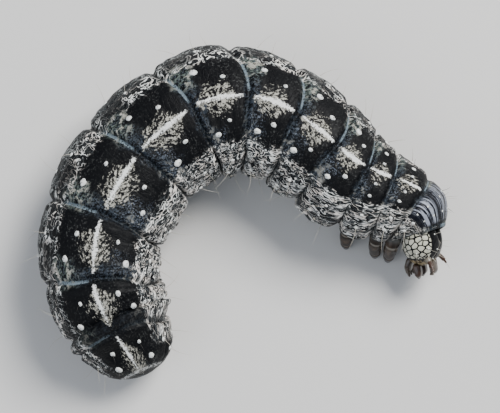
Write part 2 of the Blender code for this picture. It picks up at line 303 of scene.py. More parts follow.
def relief(ring, angle, distance):
    """Folds, pleats and lumps of the skin, in millimetres out from the plain section."""
    bowed = min(max(ring - bow(ring, angle), 0.0), LAST + 1.0)
    index, u = index_and_share(bowed)
    length = SEGMENTS[index][1]
    along = 1.0 - u
    near = min(u, 1.0 - u) * length
    inner = ease((angle + 60.0) / 120.0)
    side = abs(angle)
    turn = math.radians(angle)
    spot = Vector((distance * 0.9, math.sin(turn) * NOISE_GIRTH, math.cos(turn) * NOISE_GIRTH))
    cleft = blend(CLEFT_BACK, CLEFT_SIDE, ease((side - 15.0) / 30.0))
    height = -blend(cleft, CLEFT_INNER, inner) * hill(near, 0.0, CLEFT_REACH)
    height += CLEFT_LIP * hill(near, CLEFT_LIP_PLACE, CLEFT_LIP_REACH)
    if length > 2.0:
        wobble = CREASE_WOBBLE * noise.noise(spot * 0.8)
        for place, depth in RING_CREASES:
            height -= depth * hill(along + wobble, place, RING_CREASE_REACH)
    middle, reach, depth = UPPER_CREASE
    height -= depth * hill(side, middle + 6.0 * noise.noise(spot * 0.5), reach)
    middle, reach, depth = LOWER_CREASE
    height -= depth * hill(side, middle, reach)
    bulge = math.sin(math.pi * along) * ease((length - 0.8) / 1.8)
    for middle, reach, rise in FLANK_ROLLS:
        height += rise * hill(side, middle, reach) * bulge
    height += LUMP_HEIGHT * noise.noise(spot * 0.9)
    pleat = Vector((distance * 2.6, angle * 0.030, 7.0))
    squeezed = inner * ease((side - 30.0) / 35.0) * (1.0 - 0.6 * ease((side - 100.0) / 30.0))
    height += blend(PLEAT_OUTER, PLEAT_INNER, squeezed) * noise.noise(pleat)
    if RIPPLE_FROM < bowed < RIPPLE_TO and angle > 0.0:
        ripple = math.sin(2.0 * math.pi * (distance * 1.9 + 0.03 * side))
        height += RIPPLE_HEIGHT * ripple * hill(angle, 30.0, 18.0) * hill(bowed, 10.3, 0.7)
    height += GRAIN_HEIGHT * noise.noise(spot * 3.2)
    if index == 0:
        flap = 1.0 - ease((side - 65.0) / 25.0)
        rise = TAIL_FLAP_RISE * hill(along, 0.90, 0.03)
        height += flap * (rise - TAIL_FLAP_CREASE * hill(along, 0.955, 0.018))
    if index == LAST and side < 60.0:
        rise = SHIELD_RISE * ease((56.0 - side) / 6.0)
        height += rise * ease((along - 0.02) / 0.08) * ease((0.80 - along) / 0.10)
    return height


def surface_at(index, u, angle):
    """A point of the plain skin and the direction out of it."""
    here = skin_point(index, u, angle)
    ahead = skin_point(index, min(u + 0.05, 1.0), angle)
    behind = skin_point(index, max(u - 0.05, 0.0), angle)
    around = skin_point(index, u, angle + 4.0) - skin_point(index, u, angle - 4.0)
    out = (ahead - behind).cross(around).normalized()
    if out.dot(here - section_frame(index, u)[0]) < 0.0:
        out = -out
    return here, out


def start_piece(add, name, **options):
    """Adds a primitive with nothing else selected, and names it."""
    bpy.ops.object.select_all(action="DESELECT")
    add(**options)
    piece = bpy.context.object
    piece.name = name
    piece.data.name = name
    return piece


def start_grid(name, steps, sides):
    """A flat grid, which its points then wrap into a tube."""
    return start_piece(
        bpy.ops.mesh.primitive_grid_add, name, x_subdivisions=steps, y_subdivisions=sides, size=0.01
    )


def in_edit(piece, *steps):
    """Runs edit-mode steps on the whole of one piece."""
    bpy.ops.object.select_all(action="DESELECT")
    piece.select_set(True)
    bpy.context.view_layer.objects.active = piece
    bpy.ops.object.mode_set(mode="EDIT")
    bpy.ops.mesh.select_mode(type="VERT")
    bpy.ops.mesh.select_all(action="SELECT")
    for step in steps:
        step()
    bpy.ops.object.mode_set(mode="OBJECT")


def fill_open_ends():
    """Closes what is still open on the piece in edit mode."""
    bpy.ops.mesh.select_all(action="DESELECT")
    bpy.ops.mesh.select_non_manifold(extend=False, use_wire=False, use_multi_face=False, use_verts=False)
    bpy.ops.mesh.edge_face_add()
    bpy.ops.mesh.select_all(action="SELECT")


def close_piece(piece, angle, ends=False):
    """Merges doubles, closes the ends if asked, turns the faces out and shades the piece smooth."""
    steps = [lambda: bpy.ops.mesh.remove_doubles(threshold=0.000002)]
    if ends:
        steps.append(fill_open_ends)
    steps.append(lambda: bpy.ops.mesh.normals_make_consistent(inside=False))
    in_edit(piece, *steps)
    bpy.ops.object.shade_smooth_by_angle(angle=math.radians(angle))


def grid_shares(piece):
    """Where each vertex of a fresh grid lies along and across it, from 0 to 1."""
    flat = np.array([vertex.co[:] for vertex in piece.data.vertices])
    low = flat.min(axis=0)
    size = np.ptp(flat, axis=0)
    return (flat[:, 0] - low[0]) / size[0], (flat[:, 1] - low[1]) / size[1]


def set_points(piece, points):
    """Moves a piece's vertices to points given in millimetres."""
    flat = np.asarray([tuple(point) for point in points], np.float32).ravel() * MM
    piece.data.vertices.foreach_set("co", flat)
    piece.data.update()


def put_numbers(piece, name, rows):
    """Writes a number or a vector for each vertex, which the materials read."""
    rows = np.asarray(rows, np.float32)
    vector = rows.ndim == 2
    layer = piece.data.attributes.new(name, "FLOAT_VECTOR" if vector else "FLOAT", "POINT")
    layer.data.foreach_set("vector" if vector else "value", rows.ravel())


def ring_plan():
    """Rings of the skin from the tail forward: segment number, share along it, size and step ahead."""
    plan = [(0, 1.0 - math.cos(math.pi / 2.0 * k / TAIL_RINGS), 1.0, 0.0) for k in range(TAIL_RINGS)]
    start = STOPS[1][0]
    for k in range(BODY_RINGS):
        distance = blend(start, BODY_LENGTH, k / (BODY_RINGS - 1))
        index = 0
        while index < LAST and distance >= STOPS[index + 1][0] - 1e-9:
            index += 1
        plan.append((index, min((distance - STOPS[index][0]) / SEGMENTS[index][1], 1.0), 1.0, 0.0))
    for k in range(1, NECK_RINGS + 1):
        turn = math.pi * COLLAR_TURN * k / NECK_RINGS
        size = 1.0 - COLLAR_NARROWING * (1.0 - math.cos(turn)) - COLLAR_RING_STEP * k
        plan.append((LAST, 1.0, size, COLLAR_AHEAD * math.sin(turn)))
    return plan


def pull_proleg(points, index, u, angle, size):
    """Draws the skin round a root down into a fleshy leg with a flat sole on the floor."""
    root, out = surface_at(index, u, angle)
    forward = section_frame(index, u)[1]
    aside = Vector((out.x, out.y, 0.0)).normalized()
    sole = Vector((root.x, root.y, 0.0)) + aside * PROLEG_SPREAD * size
    along = (forward - out * forward.dot(out)).normalized()
    across = out.cross(along)
    level = Vector((along.x, along.y, 0.0)).normalized()
    level_across = Vector((0.0, 0.0, -1.0)).cross(level)
    offset = points - np.array(root)
    a = offset @ np.array(along)
    b = offset @ np.array(across)
    r = np.hypot(a, b)
    share = r / (PROLEG_REACH * size)
    near = (share < 1.0) & (np.abs(offset @ np.array(out)) < PROLEG_SKIN_DEPTH)
    share = share[near]
    radius = np.interp(share, PROLEG_SHARES, PROLEG_RADII)[:, None] * size
    drop = np.interp(share, PROLEG_SHARES, PROLEG_DROPS)[:, None]
    cos = (a[near] / np.maximum(r[near], 1e-6))[:, None]
    sin = (b[near] / np.maximum(r[near], 1e-6))[:, None]
    tilt = np.clip(drop * 1.6, 0.0, 1.0)
    axis_a = np.array(along) * (1.0 - tilt) + np.array(level) * tilt
    axis_b = np.array(across) * (1.0 - tilt) + np.array(level_across) * tilt
    centre = np.array(root) + (np.array(sole) - np.array(root)) * drop
    leg = centre + radius * (cos * axis_a + sin * axis_b)
    hold = 1.0 - np.clip((share - PROLEG_HOLD_FROM) / (1.0 - PROLEG_HOLD_FROM), 0.0, 1.0)[:, None]
    hold = hold * hold * (3.0 - 2.0 * hold)
    points[near] = points[near] * (1.0 - hold) + leg * hold
    return near, drop[:, 0] * hold[:, 0]


plan = ring_plan()
skin = start_grid("body_skin", len(plan) - 1, SKIN_SIDES)
share_along, share_round = grid_shares(skin)
turned = share_round * 2.0 - 1.0
angles = 180.0 * ((1.0 - SIDE_CROWDING) * turned + SIDE_CROWDING * turned ** 3)
points = np.zeros((len(share_along), 3))
marks = np.zeros(len(share_along))
straight = np.zeros((len(share_along), 3))
row_of = np.rint(share_along * (len(plan) - 1)).astype(int)
for row, (index, u, share, ahead) in enumerate(plan):
    framed = section_frame(index, u)
    girth = NOISE_GIRTH * end_taper(index, u)[0] if index == 0 else NOISE_GIRTH
    ring = LAST - index + 1.0 - u
    distance = STOPS[index][0] + SEGMENTS[index][1] * u
    for k in np.nonzero(row_of == row)[0]:
        angle = angles[k]
        points[k] = skin_point(index, u, angle, relief(ring, angle, distance), framed, share, ahead)
        marks[k] = mark_of(ring, angle)
        turn = math.radians(angle)
        straight[k] = (BODY_LENGTH - distance - ahead, math.sin(turn) * girth, math.cos(turn) * girth)
foot = np.zeros(len(points))
for index, u, angle, size in PROLEG_PLACES:
    for side in (-1.0, 1.0):
        near, drop = pull_proleg(points, index, u, angle * side, size)
        foot[near] = np.maximum(foot[near], drop)
points[:, 2] = np.maximum(points[:, 2], 0.0)
set_points(skin, points)
put_numbers(skin, "mark", marks)
put_numbers(skin, "side", angles)
put_numbers(skin, "foot", foot)
put_numbers(skin, "straight", straight)
close_piece(skin, 70.0, ends=True)


class Value:
    """A number in a material. Python's operators on it add Math nodes."""

    def __init__(self, finish, socket):
        self.finish = finish
        self.socket = socket

    def math(self, operation, *others):
        sockets = dict(enumerate((self, *others)))
        return self.finish.value("ShaderNodeMath", {"operation": operation}, sockets)

    def __add__(self, other):
        return self.math("ADD", other)

    def __sub__(self, other):
        return self.math("SUBTRACT", other)

    def __mul__(self, other):
        return self.math("MULTIPLY", other)

    def __truediv__(self, other):
        return self.math("DIVIDE", other)

    def __rsub__(self, other):
        return self.finish.value("ShaderNodeMath", {"operation": "SUBTRACT"}, {0: other, 1: self})

    __radd__ = __add__
    __rmul__ = __mul__

    def size(self):
        return self.math("ABSOLUTE")

    def step(self, low, high):
        """0 at low and 1 at high, eased between; low may be the larger."""
        return self.finish.value(
            "ShaderNodeMapRange",
            {"interpolation_type": "SMOOTHSTEP"},
            {"Value": self, "From Min": low, "From Max": high},
        )

    def band(self, low, high, soft):
        """1 between low and high, with soft edges."""
        return self.step(low - soft, low + soft) * self.step(high + soft, high - soft)

    def hill(self, centre, reach):
        """1 at the centre, eased to 0 at the reach."""
        return (self - centre).size().step(reach, 0.0)


class Finish:
    """A material under construction, on one Principled shader."""

    def __init__(self, name):
        self.material = bpy.data.materials.new(name)
        self.material.use_nodes = True
        self.tree = self.material.node_tree
        self.shader = self.tree.nodes["Principled BSDF"]

    def add(self, kind, settings=None, sockets=None):
        node = self.tree.nodes.new(kind)
        for key, setting in (settings or {}).items():
            setattr(node, key, setting)
        self.feed(node, sockets or {})
        return node

    def feed(self, node, sockets):
        for key, given in sockets.items():
            socket = node.inputs[key]
            if isinstance(given, Value):
                self.tree.links.new(given.socket, socket)
            elif isinstance(given, bpy.types.NodeSocket):
                self.tree.links.new(given, socket)
            elif socket.type == "RGBA":
                socket.default_value = (*given, 1.0)
            else:
                socket.default_value = given

    def value(self, kind, settings=None, sockets=None, out=0):
        return Value(self, self.add(kind, settings, sockets).outputs[out])

    def attribute(self, name):
        """A number that put_numbers wrote on the piece."""
        return self.value("ShaderNodeAttribute", {"attribute_name": name}, None, "Fac")

    def vector_attribute(self, name):
        return self.add("ShaderNodeAttribute", {"attribute_name": name}).outputs["Vector"]

    def mix(self, factor, a, b):
        """A colour between a and b."""
        node = self.add("ShaderNodeMix", {"data_type": "RGBA"})
        self.feed(node, {0: factor, 6: a, 7: b})
        return node.outputs[2]

    def noise(self, vector, scale, detail=2.0, rough=0.5, warp=0.0):
        """Cloudy noise, near 0.5 on average, with so many lumps to a unit."""
        sockets = {"Vector": vector, "Scale": scale, "Detail": detail, "Roughness": rough}
        sockets["Distortion"] = warp
        return self.value("ShaderNodeTexNoise", {"noise_dimensions": "3D"}, sockets)

    def cells(self, vector, feature, random):
        """Flat cells, one to a unit: how far a place is from its cell's edge or middle."""
        sockets = {"Vector": vector, "Scale": 1.0, "Randomness": random}
        return self.value("ShaderNodeTexVoronoi", {"voronoi_dimensions": "2D", "feature": feature}, sockets)

    def stretch(self, vector, size, shift=(0.0, 0.0, 0.0)):
        """A place with each of its directions counted in its own steps, then shifted."""
        sockets = {"Vector": vector, "Scale": size, "Location": shift}
        return self.add("ShaderNodeMapping", {"vector_type": "POINT"}, sockets).outputs[0]

    def join(self, x, y, z):
        return self.add("ShaderNodeCombineXYZ", None, {0: x, 1: y, 2: z}).outputs[0]

    def split(self, vector):
        node = self.add("ShaderNodeSeparateXYZ", None, {0: vector})
        return [Value(self, out) for out in node.outputs]

    def object_place(self):
        """The place on the piece in metres."""
        return self.add("ShaderNodeTexCoord").outputs["Object"]

    def bump(self, height, distance, strength=1.0, under=None):
        sockets = {"Height": height, "Distance": distance, "Strength": strength}
        if under is not None:
            sockets["Normal"] = under
        return self.add("ShaderNodeBump", None, sockets).outputs[0]

    def set(self, **sockets):
        self.feed(self.shader, {key.replace("_", " "): given for key, given in sockets.items()})


INK = (0.0022, 0.0025, 0.0034)
DUST = (0.085, 0.088, 0.085)
SPECK = (0.095, 0.115, 0.140)
CHALK = (0.90, 0.91, 0.88)
CREAM = (0.50, 0.485, 0.42)
DULL_CREAM = (0.245, 0.24, 0.21)
MOSS = (0.14, 0.175, 0.155)
SLATE = (0.036, 0.047, 0.062)
# Painted bluish sheen along the stretched joints.
JOINT_SHEEN = (0.190, 0.245, 0.285)
# Painted reflection of the blue sky, in specks on the inner slopes.
SKY_SHEEN = (0.170, 0.200, 0.250)
WORM_WHITE = (0.85, 0.86, 0.83)
# Painted shade: the flank worms as they look in the shadow of the outer flank.
WORM_SHADED = (0.27, 0.285, 0.28)
WORM_WARM = (0.76, 0.71, 0.65)
WORM_GREY = (0.13, 0.145, 0.15)
BELLY_DARK = (0.07, 0.08, 0.075)
BELLY_PALE = (0.30, 0.32, 0.29)
PAD_DARK = (0.09, 0.08, 0.075)
PAD_PALE = (0.26, 0.24, 0.22)
SHIELD_BLACK = (0.006, 0.007, 0.011)
# Pale shield streaks tinted as a painted bluish highlight.
SHIELD_STREAK_SHEEN = (0.36, 0.39, 0.46)


class Markings:
    """Where a place on the skin lies in the markings, and the noises that several of them share."""

    def __init__(self, finish):
        self.mark = finish.attribute("mark")
        self.angle = finish.attribute("side")
        self.straight = finish.vector_attribute("straight")
        self.along = finish.split(self.straight)[0]
        self.side = self.angle.size()
        self.place = self.mark.math("FRACT")
        self.outer = self.angle.step(2.0, -2.0)
        self.tail = self.mark.step(10.96, 11.04)
        self.broad = finish.noise(self.straight, 0.55, 2.0)
        self.wander = finish.noise(self.straight, 1.3, 2.0)
        self.fine = finish.noise(self.straight, 4.0, 2.0, 0.6)
        self.grit = finish.noise(self.straight, 9.0, 2.0, 0.65)
        self.ragged = (self.wander - 0.5) * 9.0 + (self.fine - 0.5) * 12.0


def flank_worms(f, m):
    """Where the thick and the thin worm-like lines of the flanks are."""
    worm_place = f.stretch(m.straight, (0.48, 1.0, 1.0))
    curl_place = f.stretch(m.straight, (1.05, 0.66, 0.66))
    clump = f.noise(m.straight, 0.9, 2.0, 0.6).step(0.40, 0.60)
    inner_lines = (f.noise(worm_place, 3.3, 1.0, 0.45, 1.1) - 0.5).size()
    outer_lines = (f.noise(curl_place, 2.9, 1.0, 0.45, 1.0) - 0.5).size()
    lines = outer_lines * m.outer + inner_lines * (1.0 - m.outer)
    worms = (0.012 + clump * 0.035 + (1.0 - m.outer) * 0.008 - lines).step(-0.010, 0.011)
    thin_lines = (f.noise(worm_place, 5.6, 1.0, 0.5, 0.6) - 0.5).size().step(0.050, 0.025)
    flank_end = m.mark.step(11.55, 11.30) * (1.0 - m.outer) + m.mark.step(11.85, 11.60) * m.outer
    flank_end = (flank_end + m.side.step(78.0, 95.0)).math("MINIMUM", 1.0)
    flank = (m.side + m.ragged * 1.3).step(37.0, 42.5) * flank_end
    gap = m.outer * m.place.band(0.52, 0.90, 0.08) * (m.side + m.ragged).band(44.0, 66.0, 4.0)
    crease = (m.place - 0.5).size().step(0.465, 0.490) * m.side.step(44.0, 58.0)
    thick = worms * flank * (1.0 - gap * 0.85) * (1.0 - crease * 0.9)
    thin = thin_lines * flank * (1.0 - gap * 0.5) * (0.6 - m.outer * 0.3)
    return thick, thin


def worm_colour(f, m):
    """White to warm grey, with painted shade darkening the worms low on the outer flank ahead of the tail.
    """
    colour = f.mix(m.wander.step(0.40, 0.62), WORM_WHITE, WORM_WARM)
    # Painted shade: the low outer flank, ahead of the tail, gets the darker worm colour.
    return f.mix(m.outer * m.side.step(58.0, 74.0) * m.mark.step(10.2, 9.4), colour, WORM_SHADED)


def feathering(f, m):
    """Where the cream feathering beside the dash of each segment is, and its colour."""
    aside = m.side * 0.07
    ray_across = (aside + m.along * 0.6) * 5.6
    ray_along = (aside * 0.6 - m.along) * 2.3
    rays = f.noise(f.join(ray_across, ray_along, m.outer * 9.1), 1.0, 2.0, 0.6, 0.4)
    speck = f.noise(m.straight, 8.6, 3.0, 0.65, 0.6)
    width = m.place.step(0.12, 0.40) * m.place.step(0.97, 0.62) * 18.0 * (1.0 - m.tail)
    width = width + m.place.step(0.10, 0.75) * m.place.step(1.0, 0.90) * m.tail * 22.0
    nearness = (width + m.ragged * 0.40 - m.side) / (width * 0.55 + 1.0)
    nearness = nearness.math("MINIMUM", 1.0).math("MAXIMUM", 0.0)
    fullness = nearness * (0.085 + m.mark.band(4.0, 8.0, 1.0) * 0.016) + (m.broad - 0.5) * 0.14
    feather = (rays * 0.54 + speck * 0.46 - 0.575 + fullness).step(-0.005, 0.065)
    colour = f.mix(nearness.step(0.10, 0.90) * speck.step(0.35, 0.62), DULL_CREAM, CREAM)
    return feather * nearness.step(0.02, 0.14), colour


def midline_dash(f, m):
    """Where the white dash on the midline is, beaded towards the rear of its segment."""
    beads = 1.0 - m.place.step(0.68, 0.80) * f.noise(m.straight, 2.8, 0.0).step(0.53, 0.43) * 0.9
    reach = (m.place + (m.fine - 0.5) * 0.10).band(0.10, 0.90, 0.03)
    width = (0.95 + m.place.hill(0.42, 0.42) * 0.80) * beads
    width = width + (m.grit - 0.5) * 7.5 + (m.wander - 0.5) * 3.6
    return (width - (m.angle + 1.2).size()).step(-0.4, 0.6) * reach


def rear_mottling(f, m):
    """Specks and blots of the rear third, which run a little over the joint, and the blots' colour."""
    rear_start = 0.64 + m.side.step(40.0, 8.0) * 0.10
    rear = (m.place + (m.wander - 0.5) * 0.40 - rear_start).step(0.0, 0.14)
    front = (m.place + (m.wander - 0.5) * 0.25).step(0.10, 0.02)
    zone = rear.math("MAXIMUM", front * 0.7) * (m.side + m.ragged).step(52.0, 38.0)
    zone = zone * (m.mark.step(10.70, 10.40) * 0.75 + 0.25)
    blots = f.noise(m.straight, 2.6, 2.0, 0.6, 0.5)
    pepper = f.noise(m.straight, 7.6, 3.0, 0.7, 0.5)
    blotted = (blots * 0.36 + pepper * 0.64 + m.side.step(4.0, 34.0) * 0.030).step(0.505, 0.560) * zone
    specks = m.grit.step(0.53, 0.64) * zone * (m.mark.step(10.4, 9.8) * 0.35 + 0.30)
    colour = f.mix(m.side.step(10.0, 30.0) * m.outer, SLATE, MOSS)
    creamy = m.side.step(10.0, 32.0) * (m.outer * 0.35 + 0.50) * blots.step(0.50, 0.62)
    return specks, blotted, f.mix(creamy, colour, CREAM)


def inner_sky_sheen(m):
    """Where a painted blue-grey sky sheen lies in fine specks on the inner rear quarter of a segment."""
    zone = (m.place + (m.wander - 0.5) * 0.5).step(0.45, 0.75) * (m.side + m.ragged).band(10.0, 38.0, 5.0)
    zone = zone * (1.0 - m.outer) * m.broad.step(0.38, 0.52) * m.mark.step(10.0, 9.4)
    return m.grit.step(0.54, 0.64) * zone


def joint_sheen(m):
    """Where the pale grey-blue line in each joint is, mostly on the outer side: the paler stretched skin of
    the joint with a painted sheen along its crest.
    """
    line = (m.place - 0.5 + (m.fine - 0.5) * 0.02).size().step(0.473, 0.487)
    line = line * m.side.step(5.0, 10.0) * m.side.step(50.0, 38.0)
    line = line * (m.outer * 0.72 + 0.10) * m.grit.step(0.36, 0.50)
    return line * (m.mark.step(10.8, 10.4) * 0.6 + 0.4)


def tail_rim(m):
    """Where the broken white edge of the plate over the tail is."""
    broken = (m.fine * 0.5 + m.grit * 0.5).step(0.46, 0.54)
    return m.place.hill(0.90, 0.045) * m.tail * m.side.step(84.0, 70.0) * broken


def chest_shield(f, m):
    """Where the glossy shield on the first segment is, and its colour: long pale streaks, partly the
    shield's own lines and partly a painted bluish highlight, fainter on the outer side.
    """
    shield = m.mark.band(0.10, 0.92, 0.05) * (m.side + m.ragged * 0.3).step(56.0, 51.0)
    shield = shield * m.mark.step(1.0, 0.94)
    streaks = f.noise(f.stretch(m.straight, (0.34, 1.8, 1.8)), 1.9, 3.0, 0.68).step(0.495, 0.56)
    streaks = streaks * m.side.band(4.0, 40.0, 5.0)
    return shield, f.mix(streaks * (0.85 - m.outer * 0.30), SHIELD_BLACK, SHIELD_STREAK_SHEEN)


def skin_bumps(f, m, raised, shield):
    """Pores, creases and the low relief of the markings, one over the other."""
    wrinkle_place = f.stretch(m.straight, (1.0, 0.22, 0.22))
    wrinkles = (f.noise(wrinkle_place, 3.4, 3.0, 0.6) - 0.5).size().step(0.0, 0.06)
    pores = f.bump(f.noise(m.straight, 16.0, 2.0, 0.6), 0.000012, 0.5)
    creases = f.bump(wrinkles * (1.0 - shield), 0.00004, 0.4, pores)
    return f.bump(raised + m.grit * 0.6, 0.00003, 0.7, creases)


def skin_finish():
    """Black velvet with white and grey-green markings, laid out anew in each segment."""
    f = Finish("velvet_skin")
    m = Markings(f)
    thick, thin = flank_worms(f, m)
    feather, feather_colour = feathering(f, m)
    dash = midline_dash(f, m)
    specks, blotted, blot_colour = rear_mottling(f, m)
    shield, shield_colour = chest_shield(f, m)
    dust = f.noise(m.straight, 7.0, 2.0, 0.7).step(0.54, 0.70)
    belly = f.mix(f.noise(m.straight, 4.5, 2.0, 0.6).step(0.42, 0.60), BELLY_DARK, BELLY_PALE)
    pad = f.mix(m.fine.step(0.40, 0.60), PAD_DARK, PAD_PALE)

    colour = f.mix(dust * (m.broad.step(0.44, 0.60) * 0.40 + 0.12), INK, DUST)
    colour = f.mix(specks, colour, SPECK)
    # Painted sky sheen in fine specks on the inner rear of each segment.
    colour = f.mix(inner_sky_sheen(m) * 0.8, colour, SKY_SHEEN)
    colour = f.mix(blotted * 0.75, colour, blot_colour)
    # Painted sheen along each joint, mostly on the outer side of the curl.
    colour = f.mix(joint_sheen(m), colour, JOINT_SHEEN)
    colour = f.mix(thin, colour, WORM_GREY)
    colour = f.mix(thick, colour, worm_colour(f, m))
    colour = f.mix(feather * 0.92, colour, feather_colour)
    colour = f.mix(tail_rim(m) * 0.8, colour, WORM_WHITE)
    colour = f.mix(dash, colour, CHALK)
    colour = f.mix(m.side.step(118.0, 135.0) * (1.0 - dash), colour, belly)
    colour = f.mix(f.attribute("foot").step(0.25, 0.75), colour, pad)
    # The shield's streaks are partly its own pale lines and partly a painted bluish highlight.
    colour = f.mix(shield, colour, shield_colour)

    raised = thick * 0.35 + feather * 0.25 + dash * 0.5 + blotted * 0.3
    rough = 0.50 + dash * 0.12 - shield * 0.26
    bumps = skin_bumps(f, m, raised, shield)
    f.set(Base_Color=colour, Roughness=rough, Normal=bumps, Specular_IOR_Level=0.11)
    return f.material


skin.data.materials.append(skin_finish())
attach(skin, "root")
FLESH = [row[0] for row in SEGMENTS]
FLESH += [f"proleg_{k}_{word}" for k in (3, 4, 5, 6) for word in ("left", "right")]
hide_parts(*FLESH, "anal_proleg_left", "anal_proleg_right")


# Warts
# Small hard white domes that stand in fixed places on every segment, each the root of one bristle.
# They are horny skin, so they are glossier than the velvet round them.
# Each kind: place along its segment's markings, angle from the back, radius and height.
BACK_WARTS = ((0.36, 18.5, 0.150, 0.085), (0.70, 30.0, 0.205, 0.11))
SIDE_WARTS = (
    (0.42, 62.0, 0.115, 0.06),
    (0.66, 84.0, 0.125, 0.06),
    (0.30, 101.0, 0.10, 0.05),
    (0.50, 122.0, 0.09, 0.05),
)
CHEST_WARTS = (
    (0.50, 13.0, 0.11, 0.06),
    (0.52, 29.0, 0.13, 0.07),
    (0.50, 58.0, 0.11, 0.06),
    (0.50, 82.0, 0.11, 0.06),
)
SHIELD_WARTS = (
    (0.30, 12.0, 0.07, 0.03),
    (0.62, 16.0, 0.07, 0.03),
    (0.30, 38.0, 0.07, 0.03),
    (0.66, 40.0, 0.07, 0.03),
)
WART_LONG = 1.15
WART_WIDE = 0.90
WART_UNEVEN = 0.32
WART_DULL = (0.72, 0.74, 0.70)
WART_WHITE = (0.88, 0.89, 0.86)


def wart_places():
    """Every wart: place in the markings, angle, radius and height."""
    places = []
    for segment in range(MARK_SETS):
        kinds = BACK_WARTS + SIDE_WARTS
        if segment == 0:
            kinds = SHIELD_WARTS + CHEST_WARTS[2:]
        elif segment in (1, 2):
            kinds = CHEST_WARTS
        for place, angle, radius, height in kinds:
            for side in (-1.0, 1.0):
                places.append((segment + place, angle * side, radius, height))
    return places


def on_skin(mark, angle):
    """A place on the skin with its relief, and the direction out."""
    ring = ring_of(mark, angle)
    index, u = index_and_share(ring)
    u = min(max(u, 0.02), 0.999)
    distance = STOPS[index][0] + SEGMENTS[index][1] * u
    here = skin_point(index, u, angle, relief(ring, angle, distance))
    return here, surface_at(index, u, angle)[1], section_frame(index, u)[1]


def joined_piece(name, shapes):
    """One piece from many small closed shapes, each a pair of points in millimetres and faces."""
    vertices = []
    faces = []
    for shape_points, shape_faces in shapes:
        start = len(vertices)
        vertices.extend(shape_points)
        faces.extend([tuple(start + k for k in face) for face in shape_faces])
    mesh = bpy.data.meshes.new(name)
    mesh.from_pydata([tuple(float(c) * MM for c in p) for p in vertices], [], faces)
    mesh.update()
    piece = bpy.data.objects.new(name, mesh)
    bpy.context.scene.collection.objects.link(piece)
    return piece


def take_shape(model):
    """The points and faces of a unit shape, which is then removed."""
    points = [vertex.co.copy() for vertex in model.data.vertices]
    faces = [tuple(face.vertices) for face in model.data.polygons]
    bpy.data.objects.remove(model)
    return points, faces


def placed_shape(shape, centre, out, forward, long, wide, high, uneven=0.0):
    """A stretched copy of a unit shape that stands on the skin."""
    along = (forward - out * forward.dot(out)).normalized()
    across = out.cross(along)
    unit_points, unit_faces = shape
    placed = []
    for p in unit_points:
        lump = 1.0 + uneven * noise.noise(p * 1.6 + centre * 3.0)
        placed.append(centre + (along * (p.x * long) + across * (p.y * wide)) * lump + out * (p.z * high))
    return placed, unit_faces


ball = start_piece(
    bpy.ops.mesh.primitive_uv_sphere_add, "dome_model", segments=14, ring_count=8, radius=1.0
)
dome = take_shape(ball)
wart_shapes = []
for number, (mark, angle, radius, height) in enumerate(wart_places()):
    here, out, forward = on_skin(mark, angle)
    size = radius * (1.0 + 0.12 * math.sin(number * 2.4))
    long = size * WART_LONG
    wart_shapes.append(placed_shape(dome, here, out, forward, long, size * WART_WIDE, height, WART_UNEVEN))
warts = joined_piece("white_warts", wart_shapes)
close_piece(warts, 80.0)


def wart_finish():
    """Chalky white horn, a little clouded."""
    f = Finish("white_wart")
    cloud = f.noise(f.object_place(), 5200.0, 2.0)
    f.set(Base_Color=f.mix(cloud.step(0.35, 0.65), WART_DULL, WART_WHITE), Roughness=0.38)
    return f.material


wart_material = wart_finish()
warts.data.materials.append(wart_material)
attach(warts, "root")


# Bristles
# One fine hair grows from each wart, dark on the back and pale on the flanks, and curves
# over towards its tip. Those of the flanks and the tail's sides are the longest.
BRISTLE_SIDES = 5
BRISTLE_STEPS = 7
BRISTLE_POINTS = BRISTLE_SIDES * (BRISTLE_STEPS + 1)
BRISTLE_RADIUS = 0.016
BRISTLE_BEND = 2.1
BRISTLE_LENGTH = 0.62
BRISTLE_FLANK_LENGTH = 0.95
BRISTLE_UNEVEN = 0.15
BRISTLE_BELLY_LENGTH = 0.55
# The bristles' roots lie on this share of the unwrapped square, and the head's beyond it.
UNWRAP_SHARE = 0.95
UNWRAP_PATCH = 0.003
BRISTLE_DARK = (0.035, 0.030, 0.026)
BRISTLE_PALE = (0.50, 0.47, 0.40)


def bristle_shape(root, out, way, length, radius, bend=BRISTLE_BEND):
    """A tapered hair that leaves along out and bends towards way."""
    rows = []
    here = root.copy()
    heading = out.normalized()
    for k in range(BRISTLE_STEPS + 1):
        share = k / BRISTLE_STEPS
        across = heading.orthogonal().normalized()
        around = heading.cross(across)
        thick = radius * (1.0 - share) ** 0.7 + radius * 0.06
        for j in range(BRISTLE_SIDES):
            turn = 2.0 * math.pi * j / BRISTLE_SIDES
            rows.append(here + (across * math.cos(turn) + around * math.sin(turn)) * thick)
        heading = (heading + way * (bend / BRISTLE_STEPS)).normalized()
        here = here + heading * (length / BRISTLE_STEPS)
    faces = []
    for k in range(BRISTLE_STEPS):
        for j in range(BRISTLE_SIDES):
            a = k * BRISTLE_SIDES + j
            b = k * BRISTLE_SIDES + (j + 1) % BRISTLE_SIDES
            faces.append((a, b, b + BRISTLE_SIDES, a + BRISTLE_SIDES))
    faces.append(tuple(range(BRISTLE_SIDES - 1, -1, -1)))
    faces.append(tuple(BRISTLE_STEPS * BRISTLE_SIDES + j for j in range(BRISTLE_SIDES)))
    return rows, faces


def smooth_hairs(name, shapes):
    """One smooth-shaded piece from many hairs, hooks or claws."""
    piece = joined_piece(name, shapes)
    for face in piece.data.polygons:
        face.use_smooth = True
    return piece


